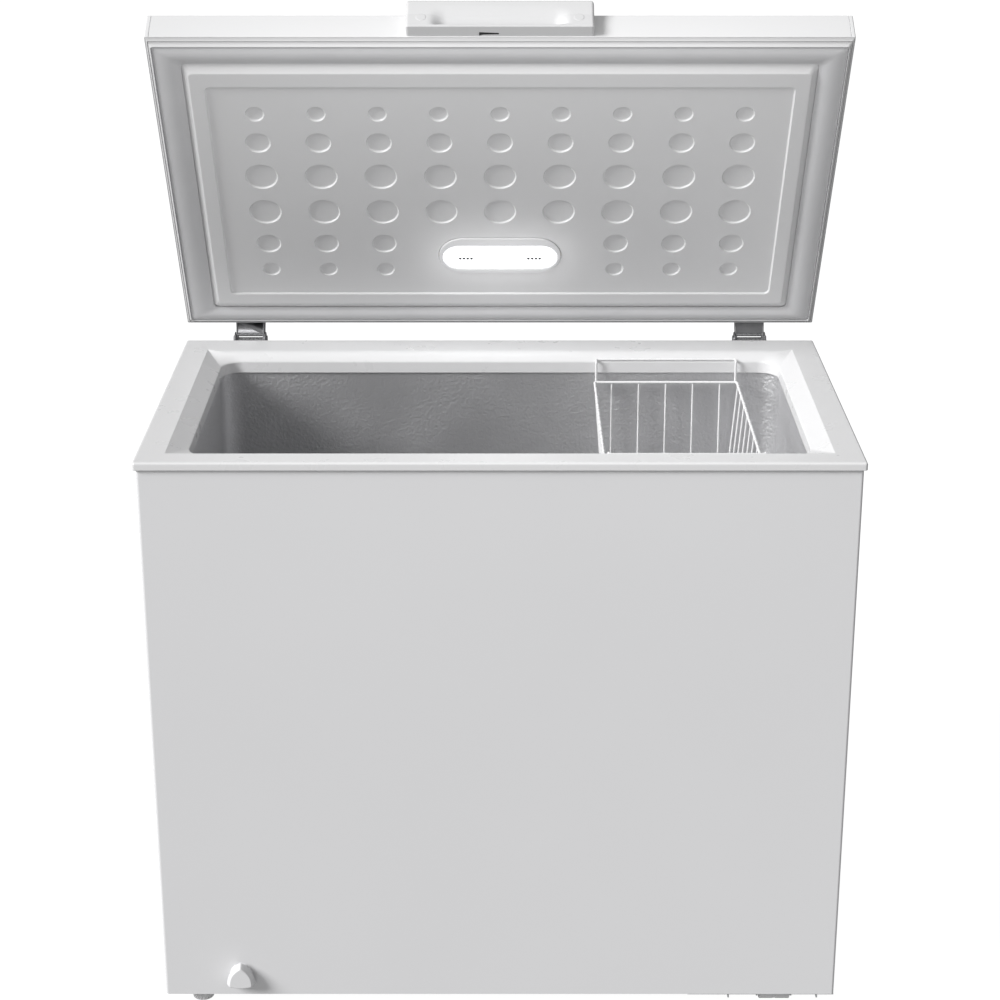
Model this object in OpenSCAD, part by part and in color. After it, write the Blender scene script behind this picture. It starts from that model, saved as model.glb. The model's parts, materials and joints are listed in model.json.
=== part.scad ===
// Chest freezer: foamed steel cabinet with a plastic rim, hinged foamed lid, wire basket,
// and a compressor in a step at the lower right.
// X runs left to right seen from the front, Y from front to back, Z up from the floor.
// The origin is on the floor, midway between the sides and midway between the rim's front and back.

/* [Cabinet] */
// Overall width of the plastic rim and of the lid
rim_w = 945; // [930:1:1100]
// Overall depth of the plastic rim
rim_d = 556; // [540:1:640]
// Height of the rim's top above the bottom of the cabinet
cabinet_h = 792.5; // [760:0.5:860]
// Gap between the floor and the bottom of the cabinet
foot_gap = 23.5; // [23:0.5:30]
// How far the rim stands out past the steel shell
rim_overhang = 4; // [3:0.5:6]
// Height of the rim's outer flange
flange_h = 10.8; // [8:0.1:16]
// Thickness of the sheet metal skins
sheet = 1; // [0.6:0.1:1.2]
// Thickness of the insulation under the floor and over the compressor step
floor_wall = 59; // [50:1:70]

/* [Rim] */
// Width of the flat top at the front
rim_front = 37; // [30:1:45]
// Width of the flat top at each side
rim_side = 37.5; // [30:0.5:45]
// Width of the flat top at the back
rim_back = 50; // [40:1:60]
// Width of the sloping band inside the flat top
funnel_w = 25; // [15:1:30]
// Drop of the sloping band
funnel_drop = 12; // [8:1:14]
// Height of the upright lip below the slope
lip_h = 17; // [12:1:25]
// Inner corner radius of the lip
lip_r = 30; // [20:1:40]

/* [Compressor step] */
// Width of the compressor compartment
step_w = 205; // [190:1:240]
// Height of the compressor compartment
step_h = 250; // [235:1:300]

/* [Lid] */
// Angle that the lid stands open at rest
lid_open = 59.4; // [0:0.1:85]
// Depth of the lid
lid_d = 550; // [536:1:560]
// Thickness of the lid from its inner frame to its top
lid_t = 45.5; // [40:0.5:60]
// Height of the lid's inner frame above the rim when closed
lid_gap = 6; // [6:0.5:8]
// Distance of the hinge axis behind the rim
pivot_back = 21; // [21:0.5:30]
// Distance of the hinge axis below the rim's top
pivot_drop = 6; // [6:0.5:10]

/* [Handle] */
// Width of the handle
handle_w = 251; // [200:1:280]
// How far the handle stands out in front of the lid
handle_out = 17; // [14:0.5:22]
// Height of the handle
handle_h = 52; // [48:1:60]

/* [Basket] */
// Width of the basket at its top wire
basket_w = 210.5; // [180:0.5:230]
// Height of the basket
basket_h = 220; // [160:5:230]
// Centre of the basket to the right of the cabinet's middle
basket_x = 245.5; // [200:0.5:260]
// Taper of each basket side from top to bottom
basket_taper = 18; // [0:1:25]

/* [Hidden] */
$fn = 48;

// colours
white_paint = [0.86, 0.86, 0.87];
white_plastic = [0.93, 0.93, 0.93];
lid_grey = [0.74, 0.74, 0.76];
stucco = [0.5, 0.5, 0.52];
zinc = [0.45, 0.45, 0.46];
foam_yellow = [0.93, 0.87, 0.66];
copper = [0.72, 0.45, 0.28];
black = [0.08, 0.08, 0.08];

// heights
body_z = foot_gap;
rim_z = foot_gap + cabinet_h;
rim_t = 3;
shell_top = rim_z - rim_t;
funnel_z = rim_z - funnel_drop;
lip_z = funnel_z - lip_h;
floor_z = body_z + sheet + floor_wall;
step_z = body_z + step_h;
step_floor_z = step_z + floor_wall;

// rim outline, flat opening and lip opening
rim_x = rim_w / 2;
rim_y = rim_d / 2;
flat_x = rim_x - rim_side;
flat_y0 = -rim_y + rim_front;
flat_y1 = rim_y - rim_back;
lip_x = flat_x - funnel_w;
lip_y0 = flat_y0 + funnel_w;
lip_y1 = flat_y1 - funnel_w;

// shell outside and liner inside
shell_x = rim_x - rim_overhang;
shell_y = rim_y - rim_overhang;
liner_x = lip_x + rim_t;
liner_y0 = lip_y0 - rim_t;
liner_y1 = lip_y1 + rim_t;
liner_r = lip_r + rim_t;
step_x = shell_x - step_w;
step_liner_x = step_x - floor_wall;

// lid in its closed place
lid_z = rim_z + lid_gap;
lid_y0 = -rim_y + 2;
lid_y1 = lid_y0 + lid_d;
pivot_y = rim_y + pivot_back;
pivot_z = rim_z - pivot_drop;
hinge_x = 378.5;
hinge_half = 23.5;
pin_r = 4;
pin_clear = 0.05;
leaf_t = 2;
screw_r = 2;

function mid(a, b) = (a + b) / 2;

// front of the drain dial and back of the open lid, which set the origin
socket_out = 5;
dial_gap = 0.4;
dial_out = 11;
dial_y = -shell_y - socket_out - dial_gap;
lid_top = lid_z + lid_t;
rest_back = pivot_y + cos(lid_open) * (lid_y1 - pivot_y) + sin(lid_open) * (lid_top - pivot_z);
origin_y = mid(dial_y - dial_out, rest_back);

// ---------- helpers ----------

// rounded rectangle between two corners
module rrect(x0, y0, x1, y1, r) {
    translate([x0 + r, y0]) square([x1 - x0 - 2 * r, y1 - y0]);
    translate([x0, y0 + r]) square([x1 - x0, y1 - y0 - 2 * r]);
    for (x = [x0 + r, x1 - r], y = [y0 + r, y1 - r]) translate([x, y]) circle(r);
}

// upright block with rounded corners
module rblock(x0, x1, y0, y1, z0, z1, r) {
    translate([0, 0, z0]) linear_extrude(z1 - z0) rrect(x0, y0, x1, y1, r);
}

// plain block between two corners
module block(x0, x1, y0, y1, z0, z1) {
    translate([x0, y0, z0]) cube([x1 - x0, y1 - y0, z1 - z0]);
}

// outline in Y and Z, extruded along X
module yz(x0, x1) {
    translate([x0, 0, 0]) rotate([90, 0, 90]) linear_extrude(x1 - x0) children();
}

// outline in X and Z, extruded along Y
module xz(y0, y1) {
    translate([0, y1, 0]) rotate([90, 0, 0]) linear_extrude(y1 - y0) children();
}

// straight round rod between two points
module rod(p, q, r) {
    v = q - p;
    translate(p) rotate([0, acos(v[2] / norm(v)), atan2(v[1], v[0])]) cylinder(r = r, h = norm(v));
}

// rods joined by balls along a list of points
module pipe(points, r) {
    for (i = [0 : len(points) - 2]) rod(points[i], points[i + 1], r);
    for (i = [1 : len(points) - 2]) translate(points[i]) sphere(r);
}

// quarter bend in a level plane, from the angle a on
module bend(c, r, tube_r, a) {
    translate(c) rotate([0, 0, a]) rotate_extrude(angle = 90) translate([r, 0]) circle(tube_r);
}

// moves the model from the middle of the rim to the middle of its own length, lid open at rest
module placed() {
    translate([0, -origin_y, 0]) children();
}

// turns the lid's parts from their closed place to the rest pose
module lid_pose() {
    translate([0, pivot_y, pivot_z]) rotate([-lid_open, 0, 0]) translate([0, -pivot_y, -pivot_z]) children();
}

// stadium outline with its length along X
module stadium(w, h) {
    rrect(-w / 2, -h / 2, w / 2, h / 2, h / 2 - 0.01);
}

// ---------- cabinet skins ----------

grille_y = 190;
grille_z0 = body_z + 35;
grille_z1 = step_z - 30;
corner_r = 3.5;

module outer_shell() color(white_paint) placed() difference() {
    rblock(-shell_x, shell_x, -shell_y, shell_y + corner_r, body_z, shell_top, corner_r);
    rblock(-shell_x + sheet, shell_x - sheet, -shell_y + sheet, shell_y + 2 * corner_r,
        body_z - 1, shell_top + 1, corner_r - sheet);
    block(-rim_w, rim_w, shell_y, shell_y + 2 * corner_r, 0, rim_z);
    block(shell_x - 2 * corner_r, rim_w, -grille_y, grille_y, grille_z0, grille_z1);
    drain_bore(drain_bore_r);
}

gland_x = 400;
gland_z = 120;
gland_r = 9;
module back_panel() color(zinc) placed() difference() {
    block(-shell_x + sheet, shell_x - sheet, shell_y - sheet, shell_y, body_z + sheet, shell_top);
    housing_screw_bores();
    translate([gland_x, shell_y - 2 * sheet, gland_z]) rotate([-90, 0, 0]) cylinder(r = gland_r, h = 4 * sheet);
}

insert_r = 11;
module bottom_panel() color(zinc) placed() difference() {
    block(-shell_x + sheet, step_x, -shell_y + sheet, shell_y - sheet, body_z, body_z + sheet);
    for (y = [-foot_y, foot_y]) translate([foot_x, y, 0]) cylinder(r = insert_r, h = body_z + 2 * sheet);
}

suction_y = 110;
capillary_y = 60;
line_z = 230;
condenser_r = 2.5;
evaporator_r = 4;
capillary_r = 1;
coil_x = shell_x - sheet - condenser_r;
liquid_x = coil_x - 20;
tail_y = shell_y - 40;
liquid_y = tail_y - 30;

module compartment_panel() color(zinc) placed() difference() {
    union() {
        block(step_x, step_x + sheet, -shell_y + sheet, shell_y - sheet, body_z, step_z);
        block(step_x, shell_x - sheet, -shell_y + sheet, shell_y - sheet, step_z - sheet, step_z);
    }
    line_bores();
    block(coil_x, rim_w, tail_y - condenser_r, tail_y + condenser_r, step_z - 5, step_z + 5);
}

// bores that the refrigerant lines pass through
module line_bores() {
    translate([coil_x, tail_y, step_z - 5]) cylinder(r = condenser_r, h = 10);
    translate([liquid_x, liquid_y, step_z - 5])
        cylinder(r = condenser_r, h = top_level + 4 * condenser_r - step_z + 5);
    rod([step_liner_x - 5, suction_y, line_z], [step_x + 5, suction_y, line_z], evaporator_r);
    rod([step_liner_x - 5, capillary_y, line_z], [step_x + 5, capillary_y, line_z], capillary_r);
}

// ---------- liner and insulation ----------

// space inside the tub, grown by g on every face but the top
module tub(g, top_z) {
    difference() {
        rblock(-liner_x - g, liner_x + g, liner_y0 - g, liner_y1 + g, floor_z - g, top_z, liner_r + g);
        block(step_liner_x + g, rim_w, -rim_d, rim_d, -1, step_floor_z - g);
    }
}

drain_x = -361.5;
drain_z = body_z + 33.5;
drain_y = liner_y0 + 35;
drain_tube_r = 9;
drain_bore_r = 12;

// level run of the drain from the front skin
module drain_bore(r) {
    translate([drain_x, -shell_y - 1, drain_z]) rotate([-90, 0, 0]) cylinder(r = r, h = 6);
}

module drain_shape(r) {
    rod([drain_x, -shell_y + sheet, drain_z], [drain_x, drain_y, drain_z], r);
    translate([drain_x, drain_y, drain_z]) sphere(r);
    rod([drain_x, drain_y, drain_z], [drain_x, drain_y, floor_z - sheet], r);
}

module inner_liner() color(stucco) placed() difference() {
    tub(sheet, funnel_z - rim_t);
    tub(0, rim_z);
    translate([drain_x, drain_y, floor_z - 5]) cylinder(r = drain_tube_r - 2, h = 10);
}

evaporator_levels = [130, 210, 290, 380, 450, 520, 590, 660, 730];
lower_levels = 3;
run_gap = 15;
function level_x(i) = i < lower_levels ? step_liner_x + sheet : liner_x + sheet;

module evaporator_coil() color(copper) placed() {
    r = evaporator_r;
    bend_r = liner_r + sheet + r;
    y0 = liner_y0 - sheet - r;
    y1 = liner_y1 + sheet + r;
    x0 = -liner_x - sheet - r;
    for (i = [0 : len(evaporator_levels) - 1]) {
        z = evaporator_levels[i];
        x1 = level_x(i) + r;
        right_r = i < lower_levels ? 0 : bend_r;
        rod([-run_gap, y1, z], [x0 + bend_r, y1, z], r);
        bend([x0 + bend_r, y1 - bend_r, z], bend_r, r, 90);
        rod([x0, y1 - bend_r, z], [x0, y0 + bend_r, z], r);
        bend([x0 + bend_r, y0 + bend_r, z], bend_r, r, 180);
        rod([x0 + bend_r, y0, z], [x1 - right_r, y0, z], r);
        rod([x1, y0 + right_r, z], [x1, y1 - right_r, z], r);
        if (right_r > 0) {
            bend([x1 - right_r, y0 + right_r, z], right_r, r, 270);
            bend([x1 - right_r, y1 - right_r, z], right_r, r, 0);
        } else for (y = [y0, y1]) translate([x1, y, z]) sphere(r);
        rod([x1 - right_r, y1, z], [run_gap, y1, z], r);
        for (x = [-run_gap, run_gap]) translate([x, y1, z]) sphere(r);
        if (i > 0) {
            side = i % 2 == 1 ? -run_gap : run_gap;
            rod([side, y1, evaporator_levels[i - 1]], [side, y1, z], r);
        }
    }
}

condenser_levels = [350, 450, 550, 650];
condenser_bend_r = 20;
module condenser_coil() color(copper) placed() {
    r = condenser_r;
    b = condenser_bend_r;
    x = coil_x;
    y0 = -shell_y + sheet + r;
    for (i = [0 : len(condenser_levels) - 1]) {
        z = condenser_levels[i];
        rod([x, tail_y, z], [x, y0 + b, z], r);
        bend([x - b, y0 + b, z], b, r, 270);
        rod([x - b, y0, z], [-x + b, y0, z], r);
        bend([-x + b, y0 + b, z], b, r, 180);
        rod([-x, y0 + b, z], [-x, tail_y, z], r);
        for (e = [-x, x]) translate([e, tail_y, z]) sphere(r);
        if (i > 0) {
            side = i % 2 == 1 ? -x : x;
            rod([side, tail_y, condenser_levels[i - 1]], [side, tail_y, z], r);
        }
    }
    rod([x, tail_y, step_z], [x, tail_y, condenser_levels[0]], r);
}

top_level = condenser_levels[len(condenser_levels) - 1];
module liquid_line() color(copper) placed() {
    z = top_level + 4 * condenser_r;
    pipe([
        [coil_x, tail_y, top_level + condenser_r],
        [coil_x, tail_y, z],
        [coil_x, liquid_y, z],
        [liquid_x, liquid_y, z],
        [liquid_x, liquid_y, drier_z + drier_h]
    ], condenser_r);
}

// room in the foam for the coils, as square grooves behind each skin
module coil_grooves() {
    w = 2 * evaporator_r;
    for (i = [0 : len(evaporator_levels) - 1]) {
        x1 = level_x(i) + w;
        r = liner_r + sheet + w;
        rblock(-liner_x - sheet - w, x1, liner_y0 - sheet - w, liner_y1 + sheet + w,
            evaporator_levels[i] - evaporator_r, evaporator_levels[i] + evaporator_r,
            i < lower_levels ? evaporator_r : r);
    }
    block(-run_gap - w, run_gap + w, 0, liner_y1 + sheet + w, evaporator_levels[0],
        evaporator_levels[len(evaporator_levels) - 1]);
    c = 2 * condenser_r;
    for (z = condenser_levels) difference() {
        block(-rim_w, rim_w, -rim_d, tail_y + c, z - condenser_r, z + condenser_r);
        rblock(-shell_x + sheet + c, shell_x - sheet - c, -shell_y + sheet + c, rim_d, 0, rim_z,
            condenser_bend_r - condenser_r);
    }
    for (s = [-1, 1]) block(s * coil_x - condenser_r, s * coil_x + condenser_r,
        tail_y - condenser_r, tail_y + c, step_z - 1, top_level + c);
    block(liquid_x - condenser_r, shell_x - sheet, liquid_y - condenser_r, tail_y + condenser_r,
        top_level, top_level + 5 * condenser_r);
}

module cabinet_insulation() color(foam_yellow) placed() difference() {
    block(-shell_x + sheet, shell_x - sheet, -shell_y + sheet, shell_y - sheet, body_z + sheet, shell_top);
    for (x = [-shell_x + sheet, shell_x - sheet]) front_edge_cut(x);
    tub(sheet, rim_z);
    block(-flat_x - rim_t, flat_x + rim_t, flat_y0 - rim_t, flat_y1 + rim_t, funnel_z - rim_t, rim_z);
    block(step_x, rim_w, -rim_d, rim_d, 0, step_z);
    coil_grooves();
    line_bores();
    drain_shape(drain_tube_r);
    housing_screw_bores();
    for (y = [-foot_y, foot_y]) translate([foot_x, y, 0]) cylinder(r = insert_r, h = body_z + insert_h);
}

// clears the foam's front corners where the shell is rounded
module front_edge_cut(x) {
    r = corner_r;
    s = x > 0 ? 1 : -1;
    difference() {
        block(x - r, x + r, -shell_y - r, -shell_y + sheet + r, 0, rim_z);
        translate([x - s * r, -shell_y + sheet + r, -1]) cylinder(r = r, h = rim_z + 2);
    }
}

// ---------- rim ----------

module funnel() {
    hull() {
        block(-flat_x - 1, flat_x + 1, flat_y0 - 1, flat_y1 + 1, rim_z + 0.48, rim_z + 0.5);
        rblock(-lip_x, lip_x, lip_y0, lip_y1, funnel_z - 0.02, funnel_z, lip_r);
    }
}

module top_rim() color(white_plastic) placed() difference() {
    union() {
        rblock(-rim_x, rim_x, -rim_y, rim_y, rim_z - flange_h, rim_z, corner_r);
        block(-flat_x - rim_t, flat_x + rim_t, flat_y0 - rim_t, flat_y1 + rim_t, funnel_z - rim_t, rim_z);
        rblock(-lip_x - rim_t, lip_x + rim_t, lip_y0 - rim_t, lip_y1 + rim_t, lip_z, rim_z, liner_r);
    }
    difference() {
        rblock(-rim_x + rim_t, rim_x - rim_t, -rim_y + rim_t, rim_y - rim_t,
            rim_z - 2 * flange_h, rim_z - rim_t, corner_r - rim_t);
        block(-flat_x - rim_t, flat_x + rim_t, flat_y0 - rim_t, flat_y1 + rim_t, 0, rim_z);
    }
    rblock(-lip_x, lip_x, lip_y0, lip_y1, lip_z - 1, rim_z + 1, lip_r);
    funnel();
}

// ---------- refrigeration ----------

comp_x = 366;
comp_y = 85;
comp_r = 72;
plate_t = 2;
plate_z = body_z - plate_t;
comp_z = plate_z + plate_t + 14;
comp_h = 175;
grommet_x = 52;
grommet_y = 78;

module compressor() color(black) placed() difference() {
    union() {
        translate([comp_x, comp_y, comp_z]) rotate_extrude() union() {
            translate([0, 4]) square([comp_r - 12, comp_h - 4]);
            translate([0, 16]) square([comp_r, comp_h - 44]);
            translate([comp_r - 12, 16]) circle(12);
            translate([0, comp_h - 40]) intersection() {
                square([comp_r, 40]);
                translate([comp_r - 28, 12]) circle(28);
            }
        }
        rblock(comp_x - 62, comp_x + 62, comp_y - 88, comp_y + 88, comp_z, comp_z + 4, 10);
    }
    translate([comp_x, comp_y, 0]) grommet_spots() cylinder(r = 8, h = comp_z + 10);
}

module grommet_spots() {
    for (x = [-grommet_x, grommet_x], y = [-grommet_y, grommet_y]) translate([x, y, 0]) children();
}

module compressor_grommets() color(black) placed() translate([comp_x, comp_y, 0]) grommet_spots() {
    translate([0, 0, plate_z + plate_t]) cylinder(r = 11, h = comp_z - plate_z - plate_t);
    translate([0, 0, comp_z]) cylinder(r = 8, h = 4);
}

plate_x0 = 320;
plate_x1 = 446;
plate_y = shell_y - 2;
module compressor_plate() color(zinc) placed() {
    block(plate_x0, plate_x1, -plate_y, plate_y, plate_z, plate_z + plate_t);
    for (x = [plate_x0, plate_x1 - plate_t]) block(x, x + plate_t, -plate_y, plate_y, plate_z - 5, plate_z);
    for (y = [-plate_y, plate_y - 2 * insert_r]) {
        block(step_x, plate_x0, y, y + 2 * insert_r, plate_z, plate_z + plate_t);
        block(plate_x1, shell_x, y, y + 2 * insert_r, plate_z, plate_z + plate_t);
    }
}

module start_relay() color(black) placed() difference() {
    block(comp_x - 25, comp_x + 25, comp_y - comp_r - 34, comp_y - comp_r + 8, comp_z + 50, comp_z + 110);
    translate([comp_x, comp_y, 0]) cylinder(r = comp_r, h = rim_z);
}

drier_r = 9;
drier_z = 100;
drier_h = 90;
module filter_drier() color(copper) placed() translate([liquid_x, liquid_y, drier_z]) {
    cylinder(r = drier_r, h = drier_h - 8);
    translate([0, 0, drier_h - 8]) cylinder(r1 = drier_r, r2 = condenser_r, h = 8);
}

line_top = comp_z + comp_h;
module suction_line() color(copper) placed() pipe([
    [level_x(0) + 2 * evaporator_r, suction_y, line_z],
    [comp_x - 30, suction_y, line_z],
    [comp_x - 30, suction_y, line_top]
], evaporator_r);

discharge_y = comp_y + 38;
module discharge_line() color(copper) placed() pipe([
    [comp_x + 25, discharge_y, line_top],
    [comp_x + 25, discharge_y, line_top + 30],
    [comp_x + 25, tail_y, line_top + 30],
    [coil_x, tail_y, line_top + 30],
    [coil_x, tail_y, step_z]
], condenser_r);

module capillary_tube() color(copper) placed() pipe([
    [level_x(0) + 2 * evaporator_r, capillary_y, line_z],
    [step_x + 20, capillary_y, line_z],
    [step_x + 20, capillary_y, drier_z - 20],
    [step_x + 20, liquid_y, drier_z - 20],
    [liquid_x, liquid_y, drier_z - 20],
    [liquid_x, liquid_y, drier_z]
], capillary_r);

// ---------- right-hand side, back and floor fittings ----------

knob_y = -130;
knob_z = mid(grille_z0, grille_z1);
knob_r = 18;
spindle_r = 3;
well_x = shell_x - 10;
slot_pitch = 12;
module vent_grille() color(white_plastic) placed() difference() {
    union() {
        block(shell_x - sheet, shell_x, -grille_y, grille_y, grille_z0, grille_z1);
        block(shell_x, shell_x + 2, -grille_y - 8, grille_y + 8, grille_z0 - 8, grille_z1 + 8);
    }
    for (z = [grille_z0 + 10 : slot_pitch : grille_z1 - 10])
        block(shell_x - 5, shell_x + 5, -85, grille_y - 10, z, z + slot_pitch / 2);
    translate([shell_x - 5, knob_y, knob_z]) rotate([0, 90, 0]) cylinder(r = knob_r + 3, h = 10);
}

module thermostat_box() color(black) placed() {
    difference() {
        block(shell_x - 40, shell_x - sheet, knob_y - 26, knob_y + 26, knob_z - 30, knob_z + 30);
        translate([well_x, knob_y, knob_z]) rotate([0, 90, 0]) cylinder(r = knob_r + 3, h = 20);
    }
    translate([well_x, knob_y, knob_z]) rotate([0, 90, 0]) cylinder(r = spindle_r, h = 9);
}

module thermostat_knob() color(white_plastic) placed() translate([well_x + 0.4, knob_y, knob_z]) rotate([0, 90, 0])
    difference() {
        union() {
            cylinder(r = knob_r, h = 6);
            cylinder(r = knob_r - 5, h = 10);
            translate([-2, -knob_r + 3, 4]) cube([4, 2 * knob_r - 6, 9]);
        }
        translate([0, 0, -1]) cylinder(r = spindle_r + pin_clear, h = 10);
    }

module cord_gland() color(black) placed() translate([gland_x, shell_y - 10, gland_z]) rotate([-90, 0, 0]) difference() {
    union() {
        cylinder(r = gland_r, h = 14);
        cylinder(r = gland_r + 4, h = 9);
        translate([0, 0, 10]) cylinder(r = gland_r + 4, h = 4);
        translate([0, 0, 14]) cylinder(r1 = gland_r, r2 = 6, h = 16);
    }
    translate([0, 0, -1]) cylinder(r = 3.5, h = 40);
}

foot_x = -421;
foot_y = 239;
foot_r = 15;
foot_h = 19;
stud_r = 5;
insert_h = 22;
flutes = 20;
module foot_inserts() color(black) placed() for (y = [-foot_y, foot_y]) translate([foot_x, y, body_z - 2]) difference() {
    union() {
        cylinder(r = insert_r, h = insert_h + 2);
        cylinder(r = insert_r + 3, h = 2);
    }
    translate([0, 0, -1]) cylinder(r = stud_r + pin_clear, h = insert_h);
}

module foot(y) color(black) placed() translate([foot_x, y, 0]) {
    difference() {
        cylinder(r = foot_r, h = foot_h);
        for (i = [0 : flutes - 1]) rotate([0, 0, i * 360 / flutes])
            translate([foot_r + 0.4, 0, 2]) cylinder(r = 1.4, h = foot_h);
    }
    cylinder(r = stud_r, h = body_z + 16);
}
module front_foot() foot(-foot_y);
module rear_foot() foot(foot_y);

roller_x = 388;
roller_y = 245;
roller_r = 9.5;
roller_half = 21.5;
axle_r = 3;
cheek_t = 2;
module roller_brackets() color(zinc) placed() for (y = [-roller_y, roller_y], s = [-1, 1]) difference() {
    x0 = roller_x + s * (roller_half + 1.5 + cheek_t / 2) - cheek_t / 2;
    yz(x0, x0 + cheek_t) {
        translate([y, roller_r]) circle(6);
        translate([y - 6, roller_r]) square([12, plate_z - roller_r]);
    }
    rod([x0 - 1, y, roller_r], [x0 + 5, y, roller_r], axle_r);
}

module roller_axles() color(zinc) placed() for (y = [-roller_y, roller_y]) {
    half = roller_half + cheek_t + 3;
    rod([roller_x - half, y, roller_r], [roller_x + half, y, roller_r], axle_r);
    rod([roller_x - half - 2, y, roller_r], [roller_x - half, y, roller_r], axle_r + 1.5);
}

module roller(y) color(black) placed() difference() {
    rod([roller_x - roller_half, y, roller_r], [roller_x + roller_half, y, roller_r], roller_r);
    rod([roller_x - roller_half - 1, y, roller_r], [roller_x + roller_half + 1, y, roller_r], axle_r + pin_clear);
}
module front_roller() roller(-roller_y);
module rear_roller() roller(roller_y);

// ---------- drain ----------

drain_wall = 2;
module drain_tube() color(white_plastic) placed() difference() {
    drain_shape(drain_tube_r);
    rod([drain_x, -shell_y, drain_z], [drain_x, drain_y, drain_z], drain_tube_r - drain_wall);
    translate([drain_x, drain_y, drain_z]) sphere(drain_tube_r - drain_wall);
    rod([drain_x, drain_y, drain_z], [drain_x, drain_y, floor_z], drain_tube_r - drain_wall);
}

module drain_plug() color(black) placed() translate([drain_x, drain_y, 0]) {
    translate([0, 0, floor_z - 14]) cylinder(r = drain_tube_r - drain_wall - pin_clear, h = 14.5);
    translate([0, 0, floor_z + 0.3]) cylinder(r = 14, h = 4);
    translate([0, 0, floor_z + 4]) cylinder(r = 4, h = 8);
}

module drain_socket() color(white_plastic) placed() difference() {
    union() {
        rod([drain_x, -shell_y - socket_out, drain_z], [drain_x, -shell_y, drain_z], 16);
        rod([drain_x, -shell_y, drain_z], [drain_x, -shell_y + sheet, drain_z], drain_bore_r);
    }
    rod([drain_x, -shell_y - 20, drain_z], [drain_x, -shell_y + 5, drain_z], drain_tube_r - drain_wall);
}

// three-cornered outline of the dial, grown by g
module dial_outline(g) {
    polygon([
        [-15 - g, -13.5 - g / 2], [15 + g, -13.5 - g / 2], [16.5 + g, -6],
        [4, 16 + g], [-4, 16 + g], [-16.5 - g, -6]
    ]);
}

module drain_dial() color(white_plastic) placed() {
    rod([drain_x, dial_y, drain_z], [drain_x, dial_y + 14, drain_z], drain_tube_r - drain_wall - pin_clear);
    xz(dial_y - 5, dial_y) translate([drain_x, drain_z]) dial_outline(3.5);
    xz(dial_y - dial_out, dial_y - 5) translate([drain_x, drain_z]) dial_outline(0);
}

// ---------- hinges ----------

housing_z0 = rim_z - 126;
housing_z1 = rim_z - flange_h - 4;
housing_back = pivot_y + 12;
screw_zs = [housing_z0 + 15, housing_z1 - 20];

module at_hinges() {
    for (s = [-1, 1]) translate([s * hinge_x, 0, 0]) children();
}

module housing_screw_bores() {
    at_hinges() housing_screw_spots() rotate([90, 0, 0]) translate([0, 0, -2]) cylinder(r = screw_r, h = 18);
}

// screw heads bear on the housing's base plate
module housing_screw_spots() {
    for (x = [-12, 12], z = screw_zs) translate([x, shell_y + leaf_t, z]) children();
}

module cheek_outline() {
    y0 = shell_y + leaf_t;
    difference() {
        union() {
            polygon([
                [y0, housing_z0], [y0 + 14, housing_z0], [housing_back, housing_z0 + 30],
                [housing_back, pivot_z], [pivot_y - 12, pivot_z], [pivot_y - 12, housing_z1], [y0, housing_z1]
            ]);
            translate([pivot_y, pivot_z]) circle(12);
        }
        translate([pivot_y, pivot_z]) circle(pin_r);
    }
}

module hinge_housings() color(zinc) placed() at_hinges() {
    difference() {
        block(-hinge_half, hinge_half, shell_y, shell_y + leaf_t, housing_z0, housing_z1);
        housing_screw_spots() rotate([90, 0, 0]) translate([0, 0, -2]) cylinder(r = screw_r, h = 18);
    }
    yz(-hinge_half, -hinge_half + leaf_t) cheek_outline();
    yz(hinge_half - leaf_t, hinge_half) cheek_outline();
    difference() {
        block(-hinge_half, hinge_half, shell_y + leaf_t, housing_back - 2, housing_z0, housing_z0 + leaf_t);
        block(-hinge_half, hinge_half, shell_y + leaf_t + 13.9, rim_d, 0, rim_z);
    }
}

module hinge_pins() color(zinc) placed() at_hinges() {
    rod([-hinge_half - 2, pivot_y, pivot_z], [hinge_half + 2, pivot_y, pivot_z], pin_r);
    for (s = [-1, 1]) rod([s * (hinge_half + 2), pivot_y, pivot_z], [s * hinge_half, pivot_y, pivot_z], pin_r + 2.5);
}

spring_r = 10;
spring_wire = 1.5;
spring_turns = 9;
spring_y = shell_y + leaf_t + 4 + spring_r;
spring_z0 = housing_z0 + leaf_t + spring_wire;
spring_z1 = pivot_z - 18;
turn_steps = 14;
ring_sides = 6;
spring_steps = spring_turns * turn_steps;
function spring_ring(i) = [
    for (k = [0 : ring_sides - 1])
    let (a = 360 * i / turn_steps, b = 360 * k / ring_sides, r = spring_r + spring_wire * cos(b))
    [r * cos(a), r * sin(a), (spring_z1 - spring_z0) * i / spring_steps + spring_wire * sin(b)]
];
module hinge_springs() color(zinc) placed() at_hinges() translate([0, spring_y, spring_z0]) polyhedron(
    points = [for (i = [0 : spring_steps]) each spring_ring(i)],
    faces = concat(
        [[for (k = [0 : ring_sides - 1]) k]],
        [for (i = [0 : spring_steps - 1], k = [0 : ring_sides - 1])
            let (n = (k + 1) % ring_sides, a = i * ring_sides, b = a + ring_sides)
            [a + k, b + k, b + n, a + n]],
        [[for (k = [ring_sides - 1 : -1 : 0]) spring_steps * ring_sides + k]]
    )
);

module screw(length) {
    cylinder(r = screw_r, h = length);
    translate([0, 0, -2]) cylinder(r = 2 * screw_r, h = 2);
}

module housing_screws() color(zinc) placed() at_hinges() housing_screw_spots() rotate([90, 0, 0]) screw(16);

leaf_z0 = lid_z + 5;
leaf_z1 = lid_z + lid_t - 4;
leaf_half = hinge_half - leaf_t - 0.3;
module leaf_screw_spots() {
    for (x = [-11, 11]) translate([x, lid_y1 + leaf_t, mid(leaf_z0, leaf_z1) + 4]) children();
}

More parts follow.
